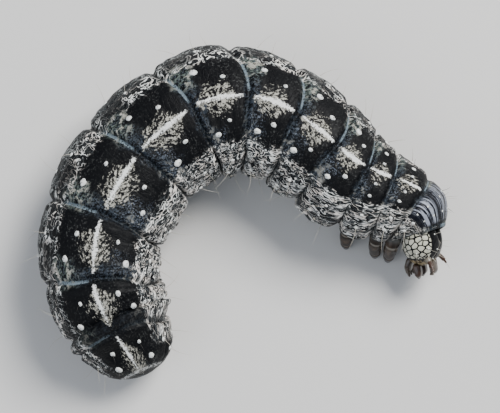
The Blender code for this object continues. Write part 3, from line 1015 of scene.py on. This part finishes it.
def bristle_rows():
    """Every bristle: its shape, its place on the unwrapped skin, and how pale it is."""
    rows = []
    for number, (mark, angle, _, height) in enumerate(wart_places()):
        here, out, forward = on_skin(mark, angle)
        swing = math.sin(number * 12.9)
        side = abs(angle)
        length = BRISTLE_LENGTH + BRISTLE_FLANK_LENGTH * ease((side - 35.0) / 45.0)
        length += BRISTLE_UNEVEN * math.sin(number * 7.7)
        if side > 110.0:
            length = BRISTLE_BELLY_LENGTH
        start = here + out * (height * 0.6)
        lean = (out + forward * (0.7 * swing - 0.3 * (mark > 10.6))).normalized()
        way = Vector((0.0, 0.0, -0.28)) + forward * (0.4 * math.sin(number * 5.1))
        unwrapped = (mark / MARK_SETS * UNWRAP_SHARE, (angle + 180.0) / 360.0 * UNWRAP_SHARE)
        shape = bristle_shape(start, lean, way, length, BRISTLE_RADIUS)
        rows.append((shape, unwrapped, ease((side - 40.0) / 25.0)))
    return rows


def put_hair_maps(piece, patches, paleness):
    """Gives each hair a tiny patch of its own on the unwrapped skin, and its paleness."""
    layer = piece.data.uv_layers.new(name="OFBake")
    for loop in piece.data.loops:
        number, within = divmod(loop.vertex_index, BRISTLE_POINTS)
        step, around = divmod(within, BRISTLE_SIDES)
        u, v = patches[number]
        layer.data[loop.index].uv = (
            u + UNWRAP_PATCH * (around + 0.5) / BRISTLE_SIDES,
            v + UNWRAP_PATCH * (step + 0.5) / (BRISTLE_STEPS + 1.0),
        )
    put_numbers(piece, "pale", np.repeat(paleness, BRISTLE_POINTS))


hair_shapes, hair_patches, hair_paleness = zip(*bristle_rows())
bristles = smooth_hairs("bristles", hair_shapes)
put_hair_maps(bristles, hair_patches, hair_paleness)


def bristle_finish():
    """Smooth hair, from dark brown to straw."""
    f = Finish("bristle_hair")
    f.set(Base_Color=f.mix(f.attribute("pale"), BRISTLE_DARK, BRISTLE_PALE), Roughness=0.35)
    return f.material


bristle_material = bristle_finish()
bristles.data.materials.append(bristle_material)
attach(bristles, "root")


# Spiracles
# The breathing holes are upright ovals with a black horny rim round a pale sieve.
# There is one on each side of the first thoracic and the first eight abdominal segments.
SPIRACLE_ANGLE = 92.0
SPIRACLE_HALF_HEIGHT = 0.21
SPIRACLE_HALF_WIDTH = 0.12
SPIRACLE_RIM_HEIGHT = 0.12
SPIRACLE_SIEVE_HEIGHT = 0.025
SPIRACLE_MARKS = [0.75] + [segment + 0.48 for segment in range(3, 11)]

ring_model = start_piece(
    bpy.ops.mesh.primitive_torus_add,
    "ring_model",
    major_segments=20,
    minor_segments=8,
    major_radius=1.0,
    minor_radius=0.30,
)
unit_ring = take_shape(ring_model)
rims = []
sieves = []
for spiracle_mark in SPIRACLE_MARKS:
    for side in (-1.0, 1.0):
        stand = on_skin(spiracle_mark, SPIRACLE_ANGLE * side)
        oval = (SPIRACLE_HALF_WIDTH, SPIRACLE_HALF_HEIGHT)
        rims.append(placed_shape(unit_ring, *stand, *oval, SPIRACLE_RIM_HEIGHT))
        sieves.append(placed_shape(dome, *stand, *oval, SPIRACLE_SIEVE_HEIGHT))
spiracle_rims = joined_piece("spiracle_rims", rims)
close_piece(spiracle_rims, 60.0)
spiracle_sieves = joined_piece("spiracle_sieves", sieves)
close_piece(spiracle_sieves, 60.0)


def plain_finish(name, colour, rough):
    """One even colour, for the small pieces."""
    f = Finish(name)
    f.set(Base_Color=colour, Roughness=rough)
    return f.material


spiracle_rims.data.materials.append(plain_finish("spiracle_rim", (0.008, 0.007, 0.006), 0.25))
spiracle_sieves.data.materials.append(plain_finish("spiracle_sieve", (0.60, 0.56, 0.46), 0.6))
for piece in (spiracle_rims, spiracle_sieves):
    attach(piece, "root")


# Hooks of the prolegs
# Each sole grips with a half circle of tiny brown hooks on its inner edge, their tips turned out.
# They are hard horn, rooted in the soft rim of the sole.
HOOKS_EACH = 16
HOOK_LENGTH = 0.16
HOOK_RADIUS = 0.022
HOOK_BEND = 1.3
HOOK_HEIGHT = 0.16
HOOK_ARC_RADIUS = 0.60


def hook_shapes():
    """The hooks of every sole, along the half circle of its inner edge."""
    shapes = []
    for index, u, angle, size in PROLEG_PLACES:
        for side in (-1.0, 1.0):
            root, out = surface_at(index, u, angle * side)
            aside = Vector((out.x, out.y, 0.0)).normalized()
            ahead = Vector((0.0, 0.0, 1.0)).cross(aside)
            sole = Vector((root.x, root.y, 0.0)) + aside * PROLEG_SPREAD * size
            for k in range(HOOKS_EACH):
                turn = math.pi * (k + 0.5) / HOOKS_EACH - math.pi / 2.0
                way = -aside * math.cos(turn) + ahead * math.sin(turn)
                start = sole + way * (HOOK_ARC_RADIUS * size) + Vector((0.0, 0.0, HOOK_HEIGHT))
                down = Vector((0.0, 0.0, -0.85)) + way * 0.6
                curl = way * 0.9 + Vector((0.0, 0.0, 0.8))
                shapes.append(bristle_shape(start, down, curl, HOOK_LENGTH, HOOK_RADIUS, HOOK_BEND))
    return shapes


hooks = smooth_hairs("sole_hooks", hook_shapes())
hooks.data.materials.append(plain_finish("hook_horn", (0.10, 0.045, 0.018), 0.3))
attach(hooks, "root")


# Head capsule
# A hard glossy case of two rounded cheeks with a furrow between them, which splits round the
# triangle of the face. Its back slides into the collar of the first segment.
HEAD_CENTRE = (11.6, -1.9, 2.85)
HEAD_HALF_WIDTH = 1.72
HEAD_UP = 1.72
HEAD_DOWN = 1.55
HEAD_FRONT = 1.30
HEAD_BACK = 1.25
HEAD_ROLL = 60.0
HEAD_TILT = 50.0
HEAD_HEADING = -50.0
SULCUS_DEPTH = 0.16
SULCUS_REACH = 0.22
FACE_TOP = 0.10
FACE_SPREAD = 0.62
SUTURE_DEPTH = 0.035
SUTURE_REACH = 0.035
HEAD_SUNK = 0.05
HEAD_NARROWING = 0.20
HEAD_GRAIN = 0.012
HEAD_LUMPS = 0.02


def head_axes():
    """Right, face and up directions of the head: rolled over to the left, its face tilted up."""
    heading = math.radians(HEAD_HEADING)
    ahead = Vector((math.cos(heading), math.sin(heading), 0.0))
    left = Vector((-math.sin(heading), math.cos(heading), 0.0))
    roll = math.radians(HEAD_ROLL)
    back = Vector((0.0, 0.0, 1.0)) * math.cos(roll) + left * math.sin(roll)
    tilt = math.radians(HEAD_TILT)
    face = ahead * math.cos(tilt) + back * math.sin(tilt)
    up = back * math.cos(tilt) - ahead * math.sin(tilt)
    return face.cross(up), face, up


HEAD_RIGHT, HEAD_FACE, HEAD_TOP = head_axes()


def head_place(x, y, z):
    """A place given in the head's own right, face and up directions, in millimetres."""
    return Vector(HEAD_CENTRE) + HEAD_RIGHT * x + HEAD_FACE * y + HEAD_TOP * z


def head_surface(x, y, z):
    """A place on the head capsule, in its own directions, for a direction given as a unit vector."""
    narrow = 1.0 - HEAD_NARROWING * ease((-z - 0.1) / 0.9)
    furrow = hill(x * HEAD_HALF_WIDTH, 0.0, SULCUS_REACH) * ease((z + 0.15) / 0.5)
    shrink = 1.0 - furrow * SULCUS_DEPTH
    depth = HEAD_FRONT if y > 0.0 else HEAD_BACK
    height = HEAD_UP if z > 0.0 else HEAD_DOWN
    return Vector((x * HEAD_HALF_WIDTH * narrow, y * depth * shrink, z * height * shrink))


def face_line(x, y, z):
    """How near a direction is to the sutures that run from the furrow down both sides of the face."""
    if y < 0.0 or z > FACE_TOP + 0.05:
        return 0.0
    edge = (FACE_TOP - z) * FACE_SPREAD
    return hill(abs(x), edge, SUTURE_REACH)


head = start_piece(bpy.ops.mesh.primitive_ico_sphere_add, "head_capsule", subdivisions=6, radius=1.0)
head_points = []
head_ways = []
for vertex in head.data.vertices:
    way = vertex.co.copy()
    place = head_surface(*way)
    place -= way * (SUTURE_DEPTH * face_line(*way))
    place += way * (HEAD_GRAIN * noise.noise(way * 9.0) + HEAD_LUMPS * noise.noise(way * 3.0))
    head_points.append(head_place(*place))
    head_ways.append(tuple(way))
set_points(head, head_points)
put_numbers(head, "way", head_ways)
neck, neck_forward, *_ = section_frame(LAST, 1.0)
in_edit(
    head,
    lambda: bpy.ops.mesh.bisect(
        plane_co=(neck - neck_forward * HEAD_SUNK) * MM,
        plane_no=neck_forward,
        use_fill=True,
        clear_inner=True,
        threshold=0.0000001,
    ),
)
close_piece(head, 50.0)

TILE = (0.47, 0.46, 0.37)
TILE_PALE = (0.61, 0.595, 0.50)
SHELL_BLACK = (0.005, 0.005, 0.006)
STREAK_DARK = (0.045, 0.030, 0.016)
STREAK_PALE = (0.30, 0.235, 0.135)
SEAM = (0.30, 0.28, 0.24)


def head_finish():
    """Cream tiles in a black net on the cheeks, a broad black band over the front."""
    f = Finish("head_tiles")
    way = f.vector_attribute("way")
    x, y, z = f.split(way)
    wide = x.size()
    spread = 1.4 - wide * 0.4
    cheek_place = f.join(y * spread + z * 0.35, z * spread - y * 0.25, 0.0)
    tile_place = f.stretch(cheek_place, (3.0, 4.2, 1.0), (0.3, 0.1, 0.0))
    ragged = (f.noise(way, 5.0, 2.0) - 0.5) * 0.16
    tile_edge = f.cells(tile_place, "DISTANCE_TO_EDGE", 0.62) + ragged * 0.25
    tile_middle = f.cells(tile_place, "F1", 0.62)
    tiles = (tile_edge - tile_middle.step(0.35, 0.80) * 0.13).step(0.06, 0.12)
    cheek = (wide + ragged).step(0.60, 0.66) * (z + ragged * 0.5).step(-0.57, -0.52)
    shade = f.noise(way, 3.0, 2.0).step(0.3, 0.7)
    tile_colour = f.mix(shade, TILE, TILE_PALE)
    colour = f.mix(tiles * cheek, SHELL_BLACK, tile_colour)
    low = (z + ragged * 0.4).step(-0.60, -0.66)
    streaks = f.noise(f.stretch(way, (7.0, 7.0, 1.6)), 1.0, 2.0).step(0.42, 0.58)
    low_colour = f.mix(streaks, STREAK_DARK, STREAK_PALE)
    colour = f.mix(low * y.step(-0.7, -0.4), colour, low_colour)
    face_edge = (wide + z * FACE_SPREAD - FACE_TOP * FACE_SPREAD).size()
    line = face_edge.step(0.030, 0.010) * y.step(0.2, 0.4) * z.step(0.12, 0.06)
    colour = f.mix(line * 0.6, colour, SEAM)
    crown = wide.step(0.016, 0.006) * z.step(0.05, 0.15)
    colour = f.mix(crown * 0.6, colour, SEAM)
    pits = f.bump(f.noise(way, 22.0, 2.0, 0.6), 0.000015, 0.5)
    domed = f.bump(tiles * cheek, 0.00002, 0.6, pits)
    f.set(Base_Color=colour, Roughness=0.30, Normal=domed, Specular_IOR_Level=0.08)
    return f.material


head.data.materials.append(head_finish())
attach(head, "root")
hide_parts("head")


# Eyes
# Six tiny glassy beads on each side, above the root of the feeler: five in an arc and one behind.
# Each is a clear lens of horn, set in the wall of the head capsule.
EYE_PLACES = (
    (0.80, 0.42, -0.42),
    (0.77, 0.52, -0.50),
    (0.70, 0.55, -0.60),
    (0.62, 0.50, -0.70),
    (0.74, 0.28, -0.68),
    (0.84, 0.20, -0.54),
)
EYE_RADIUS = 0.085


def head_out(way):
    """A direction on the head capsule turned into world directions."""
    return (HEAD_RIGHT * way.x + HEAD_FACE * way.y + HEAD_TOP * way.z).normalized()


eye_shapes = []
for x, y, z in EYE_PLACES:
    for side in (-1.0, 1.0):
        way = Vector((x * side, y, z)).normalized()
        out = head_out(way)
        here = head_place(*head_surface(*way))
        eye_shapes.append(placed_shape(dome, here, out, HEAD_TOP, EYE_RADIUS, EYE_RADIUS, EYE_RADIUS * 0.8))
eyes = joined_piece("eye_beads", eye_shapes)
close_piece(eyes, 80.0)
eyes.data.materials.append(plain_finish("eye_glass", (0.015, 0.012, 0.010), 0.06))
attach(eyes, "root")


# Feelers
# Each feeler is a short tube of three joints in a soft pale socket, and ends in one long hair.
# The joints are thin brown horn, and the socket is sunk in the head beside the root of the jaw.
ANTENNA_ROOT = (0.62, 0.50, -0.60)
ANTENNA_WAY = (0.55, 0.62, -0.56)
ANTENNA_DROOP = 0.35
# How far along the feeler, and its radius there.
ANTENNA_PROFILE = (
    (-0.15, 0.25), (0.06, 0.23), (0.18, 0.18), (0.26, 0.15), (0.34, 0.145), (0.60, 0.14), (0.72, 0.13),
    (0.74, 0.080), (0.92, 0.075), (1.00, 0.060), (1.03, 0.0),
)
TUBE_STEPS = 3
FEELER_HAIR_LENGTH = 0.7
SOCKET_SKIN = (0.17, 0.15, 0.115)
FEELER_BROWN = (0.050, 0.024, 0.014)


def ring_point(centre, axis, across, radius, around):
    """A point of a round section, a share of a turn from across."""
    turn = 2.0 * math.pi * around
    return centre + (across * math.cos(turn) + axis.cross(across) * math.sin(turn)) * radius


def tube_axis(centre_at, reach):
    """The direction of a bent line at a place along it."""
    return (centre_at(reach + 0.05) - centre_at(reach - 0.05)).normalized()


def turned_tube(name, profile, centre_at, sides=24):
    """A tube of round sections along a bent line, closed at both ends."""
    reaches = []
    for a, b in zip(profile, profile[1:]):
        for k in range(TUBE_STEPS):
            t = k / TUBE_STEPS
            reaches.append((blend(a[0], b[0], t), blend(a[1], b[1], t)))
    reaches.append(profile[-1])
    piece = start_grid(name, len(reaches) - 1, sides)
    placed = []
    reach_of = []
    for along, around in zip(*grid_shares(piece)):
        reach, radius = reaches[round(along * (len(reaches) - 1))]
        axis = tube_axis(centre_at, reach)
        across = (HEAD_TOP - axis * HEAD_TOP.dot(axis)).normalized()
        placed.append(ring_point(centre_at(reach), axis, across, radius, around))
        reach_of.append(reach)
    set_points(piece, placed)
    put_numbers(piece, "reach", reach_of)
    close_piece(piece, 45.0, ends=True)
    return piece


def feeler_line(side):
    """The bent line of one feeler, which droops towards its tip."""
    mirror = Vector((side, 1.0, 1.0))
    root = head_surface(*(Vector(ANTENNA_ROOT) * mirror).normalized())
    out = (Vector(ANTENNA_WAY) * mirror).normalized()

    def centre_at(reach):
        bent = (out + Vector((0.0, 0.0, -ANTENNA_DROOP)) * max(reach, 0.0)).normalized()
        return head_place(*(root + bent * reach))

    return centre_at


def feeler_finish():
    """Brown horn on a pale soft socket."""
    f = Finish("feeler_horn")
    reach = f.attribute("reach")
    colour = f.mix(reach.step(0.22, 0.30), SOCKET_SKIN, FEELER_BROWN)
    f.set(Base_Color=colour, Roughness=0.3)
    return f.material


feeler_material = feeler_finish()
feeler_hairs = []
for word, side in (("left", -1.0), ("right", 1.0)):
    feeler_at = feeler_line(side)
    feeler = turned_tube(f"feeler_{word}", ANTENNA_PROFILE, feeler_at)
    feeler.data.materials.append(feeler_material)
    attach(feeler, "root")
    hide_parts(f"antenna_{word}")
    droop = Vector((0.0, 0.0, -0.1))
    tip_axis = tube_axis(feeler_at, 1.0)
    hair = bristle_shape(feeler_at(1.0), tip_axis, droop, FEELER_HAIR_LENGTH, BRISTLE_RADIUS)
    feeler_hairs.append((hair, (0.97, 0.40 + 0.1 * side)))


# Head bristles
# A few pale hairs stand on the cheeks, the crown and the face, each in a tiny white horny dot.
# They are the same fine hair as the body's, rooted in the hard wall of the head.
# Each: its direction from the middle of the head, for the right side, and its length.
HEAD_BRISTLES = (
    (0.55, 0.62, 0.56, 0.9),
    (0.85, 0.30, 0.30, 1.0),
    (0.72, 0.66, -0.10, 0.9),
    (0.90, 0.10, -0.25, 1.0),
    (0.30, 0.90, -0.20, 0.7),
    (0.40, 0.70, -0.62, 0.7),
    (0.35, 0.85, 0.40, 0.8),
)
ROOT_DOT_RADIUS = 0.055
ROOT_DOT_HEIGHT = 0.030
hair_list = list(feeler_hairs)
dot_shapes = []
for number, (x, y, z, length) in enumerate(HEAD_BRISTLES):
    for side in (-1.0, 1.0):
        way = Vector((x * side, y, z)).normalized()
        start = head_place(*head_surface(*way))
        bend = HEAD_FACE * 0.3 + Vector((0.0, 0.0, -0.3)) + HEAD_RIGHT * (0.2 * math.sin(number * 3.1))
        hair = bristle_shape(start, head_out(way), bend, length, BRISTLE_RADIUS)
        hair_list.append((hair, (0.972, 0.05 + 0.06 * number + 0.45 * (side > 0.0))))
        dot_size = (ROOT_DOT_RADIUS, ROOT_DOT_RADIUS, ROOT_DOT_HEIGHT)
        dot_shapes.append(placed_shape(dome, start, head_out(way), HEAD_TOP, *dot_size))
head_shapes, head_patches = zip(*hair_list)
head_bristles = smooth_hairs("head_bristles", head_shapes)
put_hair_maps(head_bristles, head_patches, [1.0] * len(hair_list))
head_bristles.data.materials.append(bristle_material)
root_dots = joined_piece("bristle_roots", dot_shapes)
close_piece(root_dots, 80.0)
root_dots.data.materials.append(wart_material)
for piece in (head_bristles, root_dots):
    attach(piece, "root")


# Mouth
# The upper lip is a notched horny flap, the two jaws are thick toothed wedges that meet under it,
# and the lower lip carries two small palps and the blunt tube that silk comes from.
LABRUM = ((-0.60, 0.45, -2.15), (0.60, 1.00, -1.60), 0.8)
LOWER_LIP = ((-0.60, -1.25, -1.95), (0.60, -0.75, -1.36), 0.6)
MANDIBLE_INNER = 0.16
MANDIBLE_OUTER = 0.95
MANDIBLE_BACK = -0.42
MANDIBLE_FRONT = 0.12
MANDIBLE_TIP = -2.40
MANDIBLE_TOP = -1.74
MANDIBLE_NARROW = 0.6
ROOT_SINK = 0.42
TOOTH_DEPTH = 0.10
LIP_NOTCH = 0.17
LIP_THINNING = 0.26
LIP_DARK = (0.032, 0.022, 0.015)
LIP_PALE = (0.070, 0.050, 0.035)
JAW_DARK = (0.012, 0.007, 0.005)
JAW_PALE = (0.045, 0.020, 0.011)


def mouth_block(name, low, high, narrow, shape, rounding):
    """A rounded block between two corners in the head's directions, its root sunk in the capsule."""
    piece = start_piece(bpy.ops.mesh.primitive_cube_add, name, size=1.0)
    in_edit(
        piece,
        lambda: bpy.ops.mesh.bevel(offset=rounding, segments=5, affect="EDGES"),
        lambda: bpy.ops.mesh.subdivide(number_cuts=2, smoothness=0.0),
    )
    middle = (Vector(low) + Vector(high)) / 2.0
    size = Vector(high) - Vector(low)
    placed = []
    for vertex in piece.data.vertices:
        x, y, z = vertex.co
        taper = blend(narrow, 1.0, z + 0.5)
        inside = Vector((x * size.x * taper, y * size.y * taper, z * size.z))
        inside += Vector(shape(x, y, z))
        if z > 0.0:
            inside += Vector((0.0, 0.25 if middle.y < -0.5 else -0.1, ROOT_SINK)) * ease(z * 2.0)
        placed.append(head_place(*(middle + inside)))
    set_points(piece, placed)
    close_piece(piece, 40.0)
    return piece


def lip_flap(x, y, z):
    """A thin flap, bent back at its sides, with a notch in the middle of its free edge."""
    notch = LIP_NOTCH * hill(x, 0.0, 0.13) * ease(-z * 2.0)
    return 0.0, LIP_THINNING * (0.5 - y) - 0.55 * x * x - 0.10 * ease(-z * 2.0), notch


def lip_pad(x, y, _z):
    """A low cushion, fuller in the middle."""
    return 0.0, 0.10 * (0.25 - x * x) * (1.0 if y > 0.0 else -1.0), -0.10 * (0.25 - x * x)


def jaw_teeth(side):
    """Four blunt teeth on a jaw's cutting edge, which turns in towards the other jaw."""
    def shape(x, y, z):
        low_share = ease(-z * 2.0)
        tooth = TOOTH_DEPTH * abs(math.sin(math.pi * 4.0 * (y + 0.5)))
        hollow = 0.10 * (0.25 - y * y) * (1.0 if x * side < 0.0 else 0.0)
        return side * (hollow - 0.14 * low_share), -0.25 * y * low_share, tooth * low_share
    return shape


def horn_finish(name, dark, pale):
    """Glossy horn, clouded from dark to pale."""
    f = Finish(name)
    cloud = f.noise(f.object_place(), 2600.0, 3.0)
    colour = f.mix(cloud.step(0.35, 0.65), dark, pale)
    grain = f.bump(f.noise(f.object_place(), 9000.0, 2.0), 0.00001, 0.5)
    f.set(Base_Color=colour, Roughness=0.28, Normal=grain)
    return f.material


lip_material = horn_finish("lip_horn", LIP_DARK, LIP_PALE)
jaw_material = horn_finish("jaw_horn", JAW_DARK, JAW_PALE)

labrum = mouth_block("upper_lip", *LABRUM, lip_flap, 0.20)
labrum.data.materials.append(lip_material)
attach(labrum, "root")
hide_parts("labrum")

lower_lip = mouth_block("lower_lip_pad", *LOWER_LIP, lip_pad, 0.30)
lower_lip.data.materials.append(lip_material)
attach(lower_lip, "root")
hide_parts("lower_lip")

for word, side in (("left", -1.0), ("right", 1.0)):
    inner, outer_side = sorted((side * MANDIBLE_INNER, side * MANDIBLE_OUTER))
    low = (inner, MANDIBLE_BACK, MANDIBLE_TIP)
    high = (outer_side, MANDIBLE_FRONT, MANDIBLE_TOP)
    jaw = mouth_block(f"jaw_{word}", low, high, MANDIBLE_NARROW, jaw_teeth(side), 0.30)
    jaw.data.materials.append(jaw_material)
    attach(jaw, "root")
    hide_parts(f"mandible_{word}")

# How far along each tube of the lower lip, and its radius there.
PALP_PROFILE = (
    (-0.2, 0.15), (0.05, 0.15), (0.16, 0.14), (0.18, 0.10), (0.34, 0.095), (0.42, 0.06), (0.46, 0.0),
)
SPINNERET_PROFILE = ((-0.2, 0.12), (0.1, 0.11), (0.34, 0.06), (0.40, 0.045), (0.41, 0.0))
LIP_TUBES = (
    ("palp_left", -0.42, PALP_PROFILE),
    ("palp_right", 0.42, PALP_PROFILE),
    ("spinneret", 0.0, SPINNERET_PROFILE),
)


def lip_line(x):
    """The line of one tube of the lower lip, which leans out from the middle."""
    return lambda reach: head_place(x * (1.0 + 0.3 * reach), -0.95 + 0.35 * reach, -1.85 - reach * 0.9)


for name, x, profile in LIP_TUBES:
    palp = turned_tube(name, profile, lip_line(x), sides=16)
    palp.data.materials.append(lip_material)
    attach(palp, "root")


# Jointed legs
# Each of the six legs of the chest is a cone of horny tubes joined by paler soft skin, and ends in
# one curved claw. Their roots are sunk in the flesh under the first three segments.
LEG_ANGLE = 140.0
LEG_PLACE = 0.35
LEG_ROOT = 0.48
LEG_HIP = 0.45
LEG_KNEE = 0.385
LEG_ANKLE = 0.27
LEG_TIP = 0.15
HIP_LENGTH = 0.35
KNEE_HEIGHT = 0.62
ANKLE_HEIGHT = 0.36
LEGS = (
    ("front", LAST, 0.90, 0.10),
    ("middle", LAST - 1, 0.85, 0.30),
    ("rear", LAST - 2, 0.85, 0.35),
)
LEG_SIDES = 28
LINK_STEPS = 14
LINK_BULGE = 0.10
LINK_WAIST = 0.13
LINK_WAIST_REACH = 0.07
CLAW_LENGTH = 0.26
CLAW_RADIUS = 0.065
CLAW_BEND = 1.3
CLAW_HEIGHT = 0.12
LEG_DARK = (0.014, 0.010, 0.008)
LEG_BROWN = (0.050, 0.032, 0.021)
LEG_JOINT_SKIN = (0.20, 0.18, 0.15)
LEG_ROOT_SKIN = (0.09, 0.09, 0.085)


def leg_joints(index, side, reach, stride):
    """Root, hip, knee, ankle and foot of a leg, with the direction out of the body at its root."""
    root, out = surface_at(index, LEG_PLACE, side * LEG_ANGLE)
    forward = section_frame(index, LEG_PLACE)[1]
    aside = Vector((out.x, out.y, 0.0)).normalized()
    foot = Vector((root.x, root.y, 0.0)) + aside * reach + forward * stride
    hip = root + out * HIP_LENGTH
    knee = root.lerp(foot, 0.55) + aside * 0.25
    knee.z = max(0.50 * root.z, KNEE_HEIGHT)
    ankle = root.lerp(foot, 0.85) + aside * 0.12
    ankle.z = max(0.20 * root.z, ANKLE_HEIGHT)
    return [root - out * 0.35, hip, knee, ankle, foot]


def leg_sections(joints):
    """Centres, directions, radii and link numbers of the rings down a leg."""
    radii = (LEG_ROOT * 1.05, LEG_HIP, LEG_KNEE, LEG_ANKLE, LEG_TIP)
    sections = []
    for link in range(4):
        a, b = joints[link], joints[link + 1]
        axis = (b - a).normalized()
        for k in range(LINK_STEPS):
            t = k / LINK_STEPS
            radius = blend(radii[link], radii[link + 1], t)
            radius *= 1.0 + LINK_BULGE * math.sin(math.pi * t) - LINK_WAIST * hill(t, 0.0, LINK_WAIST_REACH)
            sections.append((a.lerp(b, t), axis, radius, link + t))
    axis = (joints[4] - joints[3]).normalized()
    sections.append((joints[4].copy(), axis, LEG_TIP * 0.9, 4.0))
    return sections


def smooth_axes(sections):
    """Turns each ring towards its neighbours, so that the tube bends without creases."""
    turned = []
    for k in range(len(sections)):
        near = sections[max(k - 3, 0):k + 4]
        axis = sum((row[1] for row in near), Vector()).normalized()
        turned.append((sections[k][0], axis, sections[k][2], sections[k][3]))
    return turned


def leg_across(axis):
    """A direction across a leg that stays steady from ring to ring."""
    if abs(axis.z) < 0.2:
        return axis.orthogonal().normalized()
    return (Vector((1.0, 0.0, 0.0)) - axis * axis.x).normalized()


def leg_piece(name, sections):
    """A tube over the rings of one leg, flattened where it meets the floor."""
    piece = start_grid(name, len(sections) - 1, LEG_SIDES)
    placed = []
    links = []
    for along, around in zip(*grid_shares(piece)):
        centre, axis, radius, link = sections[round(along * (len(sections) - 1))]
        spot = ring_point(centre, axis, leg_across(axis), radius, around)
        spot.z = max(spot.z, 0.0)
        placed.append(spot)
        links.append(link)
    set_points(piece, placed)
    put_numbers(piece, "link", links)
    close_piece(piece, 50.0, ends=True)
    return piece


def leg_finish():
    """Dark glossy horn with paler soft skin at the joints."""
    f = Finish("leg_shell")
    link = f.attribute("link")
    soft = (link.math("FRACT") - 0.5).size().step(0.42, 0.48) * link.step(0.5, 0.8) * link.step(3.9, 3.6)
    cloud = f.noise(f.object_place(), 2200.0, 3.0).step(0.35, 0.65)
    colour = f.mix(cloud, LEG_DARK, LEG_BROWN)
    colour = f.mix(soft * 0.8, colour, LEG_JOINT_SKIN)
    colour = f.mix(link.step(0.9, 0.4), colour, LEG_ROOT_SKIN)
    grain = f.bump(f.noise(f.object_place(), 7000.0, 2.0), 0.000012, 0.5)
    f.set(Base_Color=colour, Roughness=0.26, Normal=grain, Specular_IOR_Level=0.20)
    return f.material


leg_material = leg_finish()
claw_shapes = []
for place_word, index, reach, stride in LEGS:
    for word, side in (("left", -1.0), ("right", 1.0)):
        joints = leg_joints(index, side, reach, stride)
        leg = leg_piece(f"{place_word}_leg_{word}", smooth_axes(leg_sections(joints)))
        leg.data.materials.append(leg_material)
        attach(leg, "root")
        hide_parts(f"leg_{place_word}_{word}")
        toe = joints[4] + Vector((0.0, 0.0, CLAW_HEIGHT))
        lean = section_frame(index, LEG_PLACE)[1] + Vector((0.0, 0.0, 0.25))
        down = Vector((0.0, 0.0, -1.1))
        claw_shapes.append(bristle_shape(toe, lean, down, CLAW_LENGTH, CLAW_RADIUS, CLAW_BEND))
claws = smooth_hairs("leg_claws", claw_shapes)
claws.data.materials.append(jaw_material)
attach(claws, "root")


# Floor, camera and lights
# A plain pale table top under the animal, seen from nearly straight above. One large lamp stands
# high to the upper right of the picture, a weaker cool one opposite, and a pale sky fills the shadows.
CAMERA_TARGET = (0.30, 0.35, 3.7)
CAMERA_DISTANCE = 136.3
CAMERA_ELEVATION = 82.0
CAMERA_WIDTH_ANGLE = 13.7
SENSOR_WIDTH = 36.0
WARM_WHITE = (1.0, 0.99, 0.97)
COOL_WHITE = (0.88, 0.93, 1.0)
SKY = (0.80, 0.87, 1.0, 1.0)
SKY_STRENGTH = 0.40

floor = start_piece(bpy.ops.mesh.primitive_plane_add, "floor", size=0.6)
floor.data.materials.append(plain_finish("pale_table", (0.72, 0.71, 0.69), 0.7))

lens = bpy.data.cameras.new("camera")
camera = bpy.data.objects.new("camera", lens)
bpy.context.scene.collection.objects.link(camera)
lens.sensor_width = SENSOR_WIDTH
lens.lens = SENSOR_WIDTH / 2.0 / math.tan(math.radians(CAMERA_WIDTH_ANGLE / 2.0))
lens.clip_start = 0.005
elevation = math.radians(CAMERA_ELEVATION)
towards_camera = Vector((0.0, -math.cos(elevation), math.sin(elevation)))
camera.location = (Vector(CAMERA_TARGET) + towards_camera * CAMERA_DISTANCE) * MM
camera.rotation_euler = (math.radians(90.0 - CAMERA_ELEVATION), 0.0, 0.0)
bpy.context.scene.camera = camera


def soft_light(name, place, size, power, colour):
    """A square lamp that points at the middle of the animal."""
    lamp = bpy.data.lights.new(name, "AREA")
    lamp.size = size
    lamp.energy = power
    lamp.color = colour
    holder = bpy.data.objects.new(name, lamp)
    bpy.context.scene.collection.objects.link(holder)
    holder.location = place
    towards_animal = Vector((0.0, 0.0, 0.003)) - Vector(place)
    holder.rotation_euler = towards_animal.to_track_quat("-Z", "Y").to_euler()


soft_light("key_light", (0.15, 0.14, 0.25), 0.15, 1.65, WARM_WHITE)
soft_light("fill_light", (-0.18, -0.12, 0.20), 0.22, 0.28, COOL_WHITE)
world = bpy.data.worlds.new("studio")
world.use_nodes = True
background = world.node_tree.nodes["Background"]
background.inputs["Color"].default_value = SKY
background.inputs["Strength"].default_value = SKY_STRENGTH
bpy.context.scene.world = world
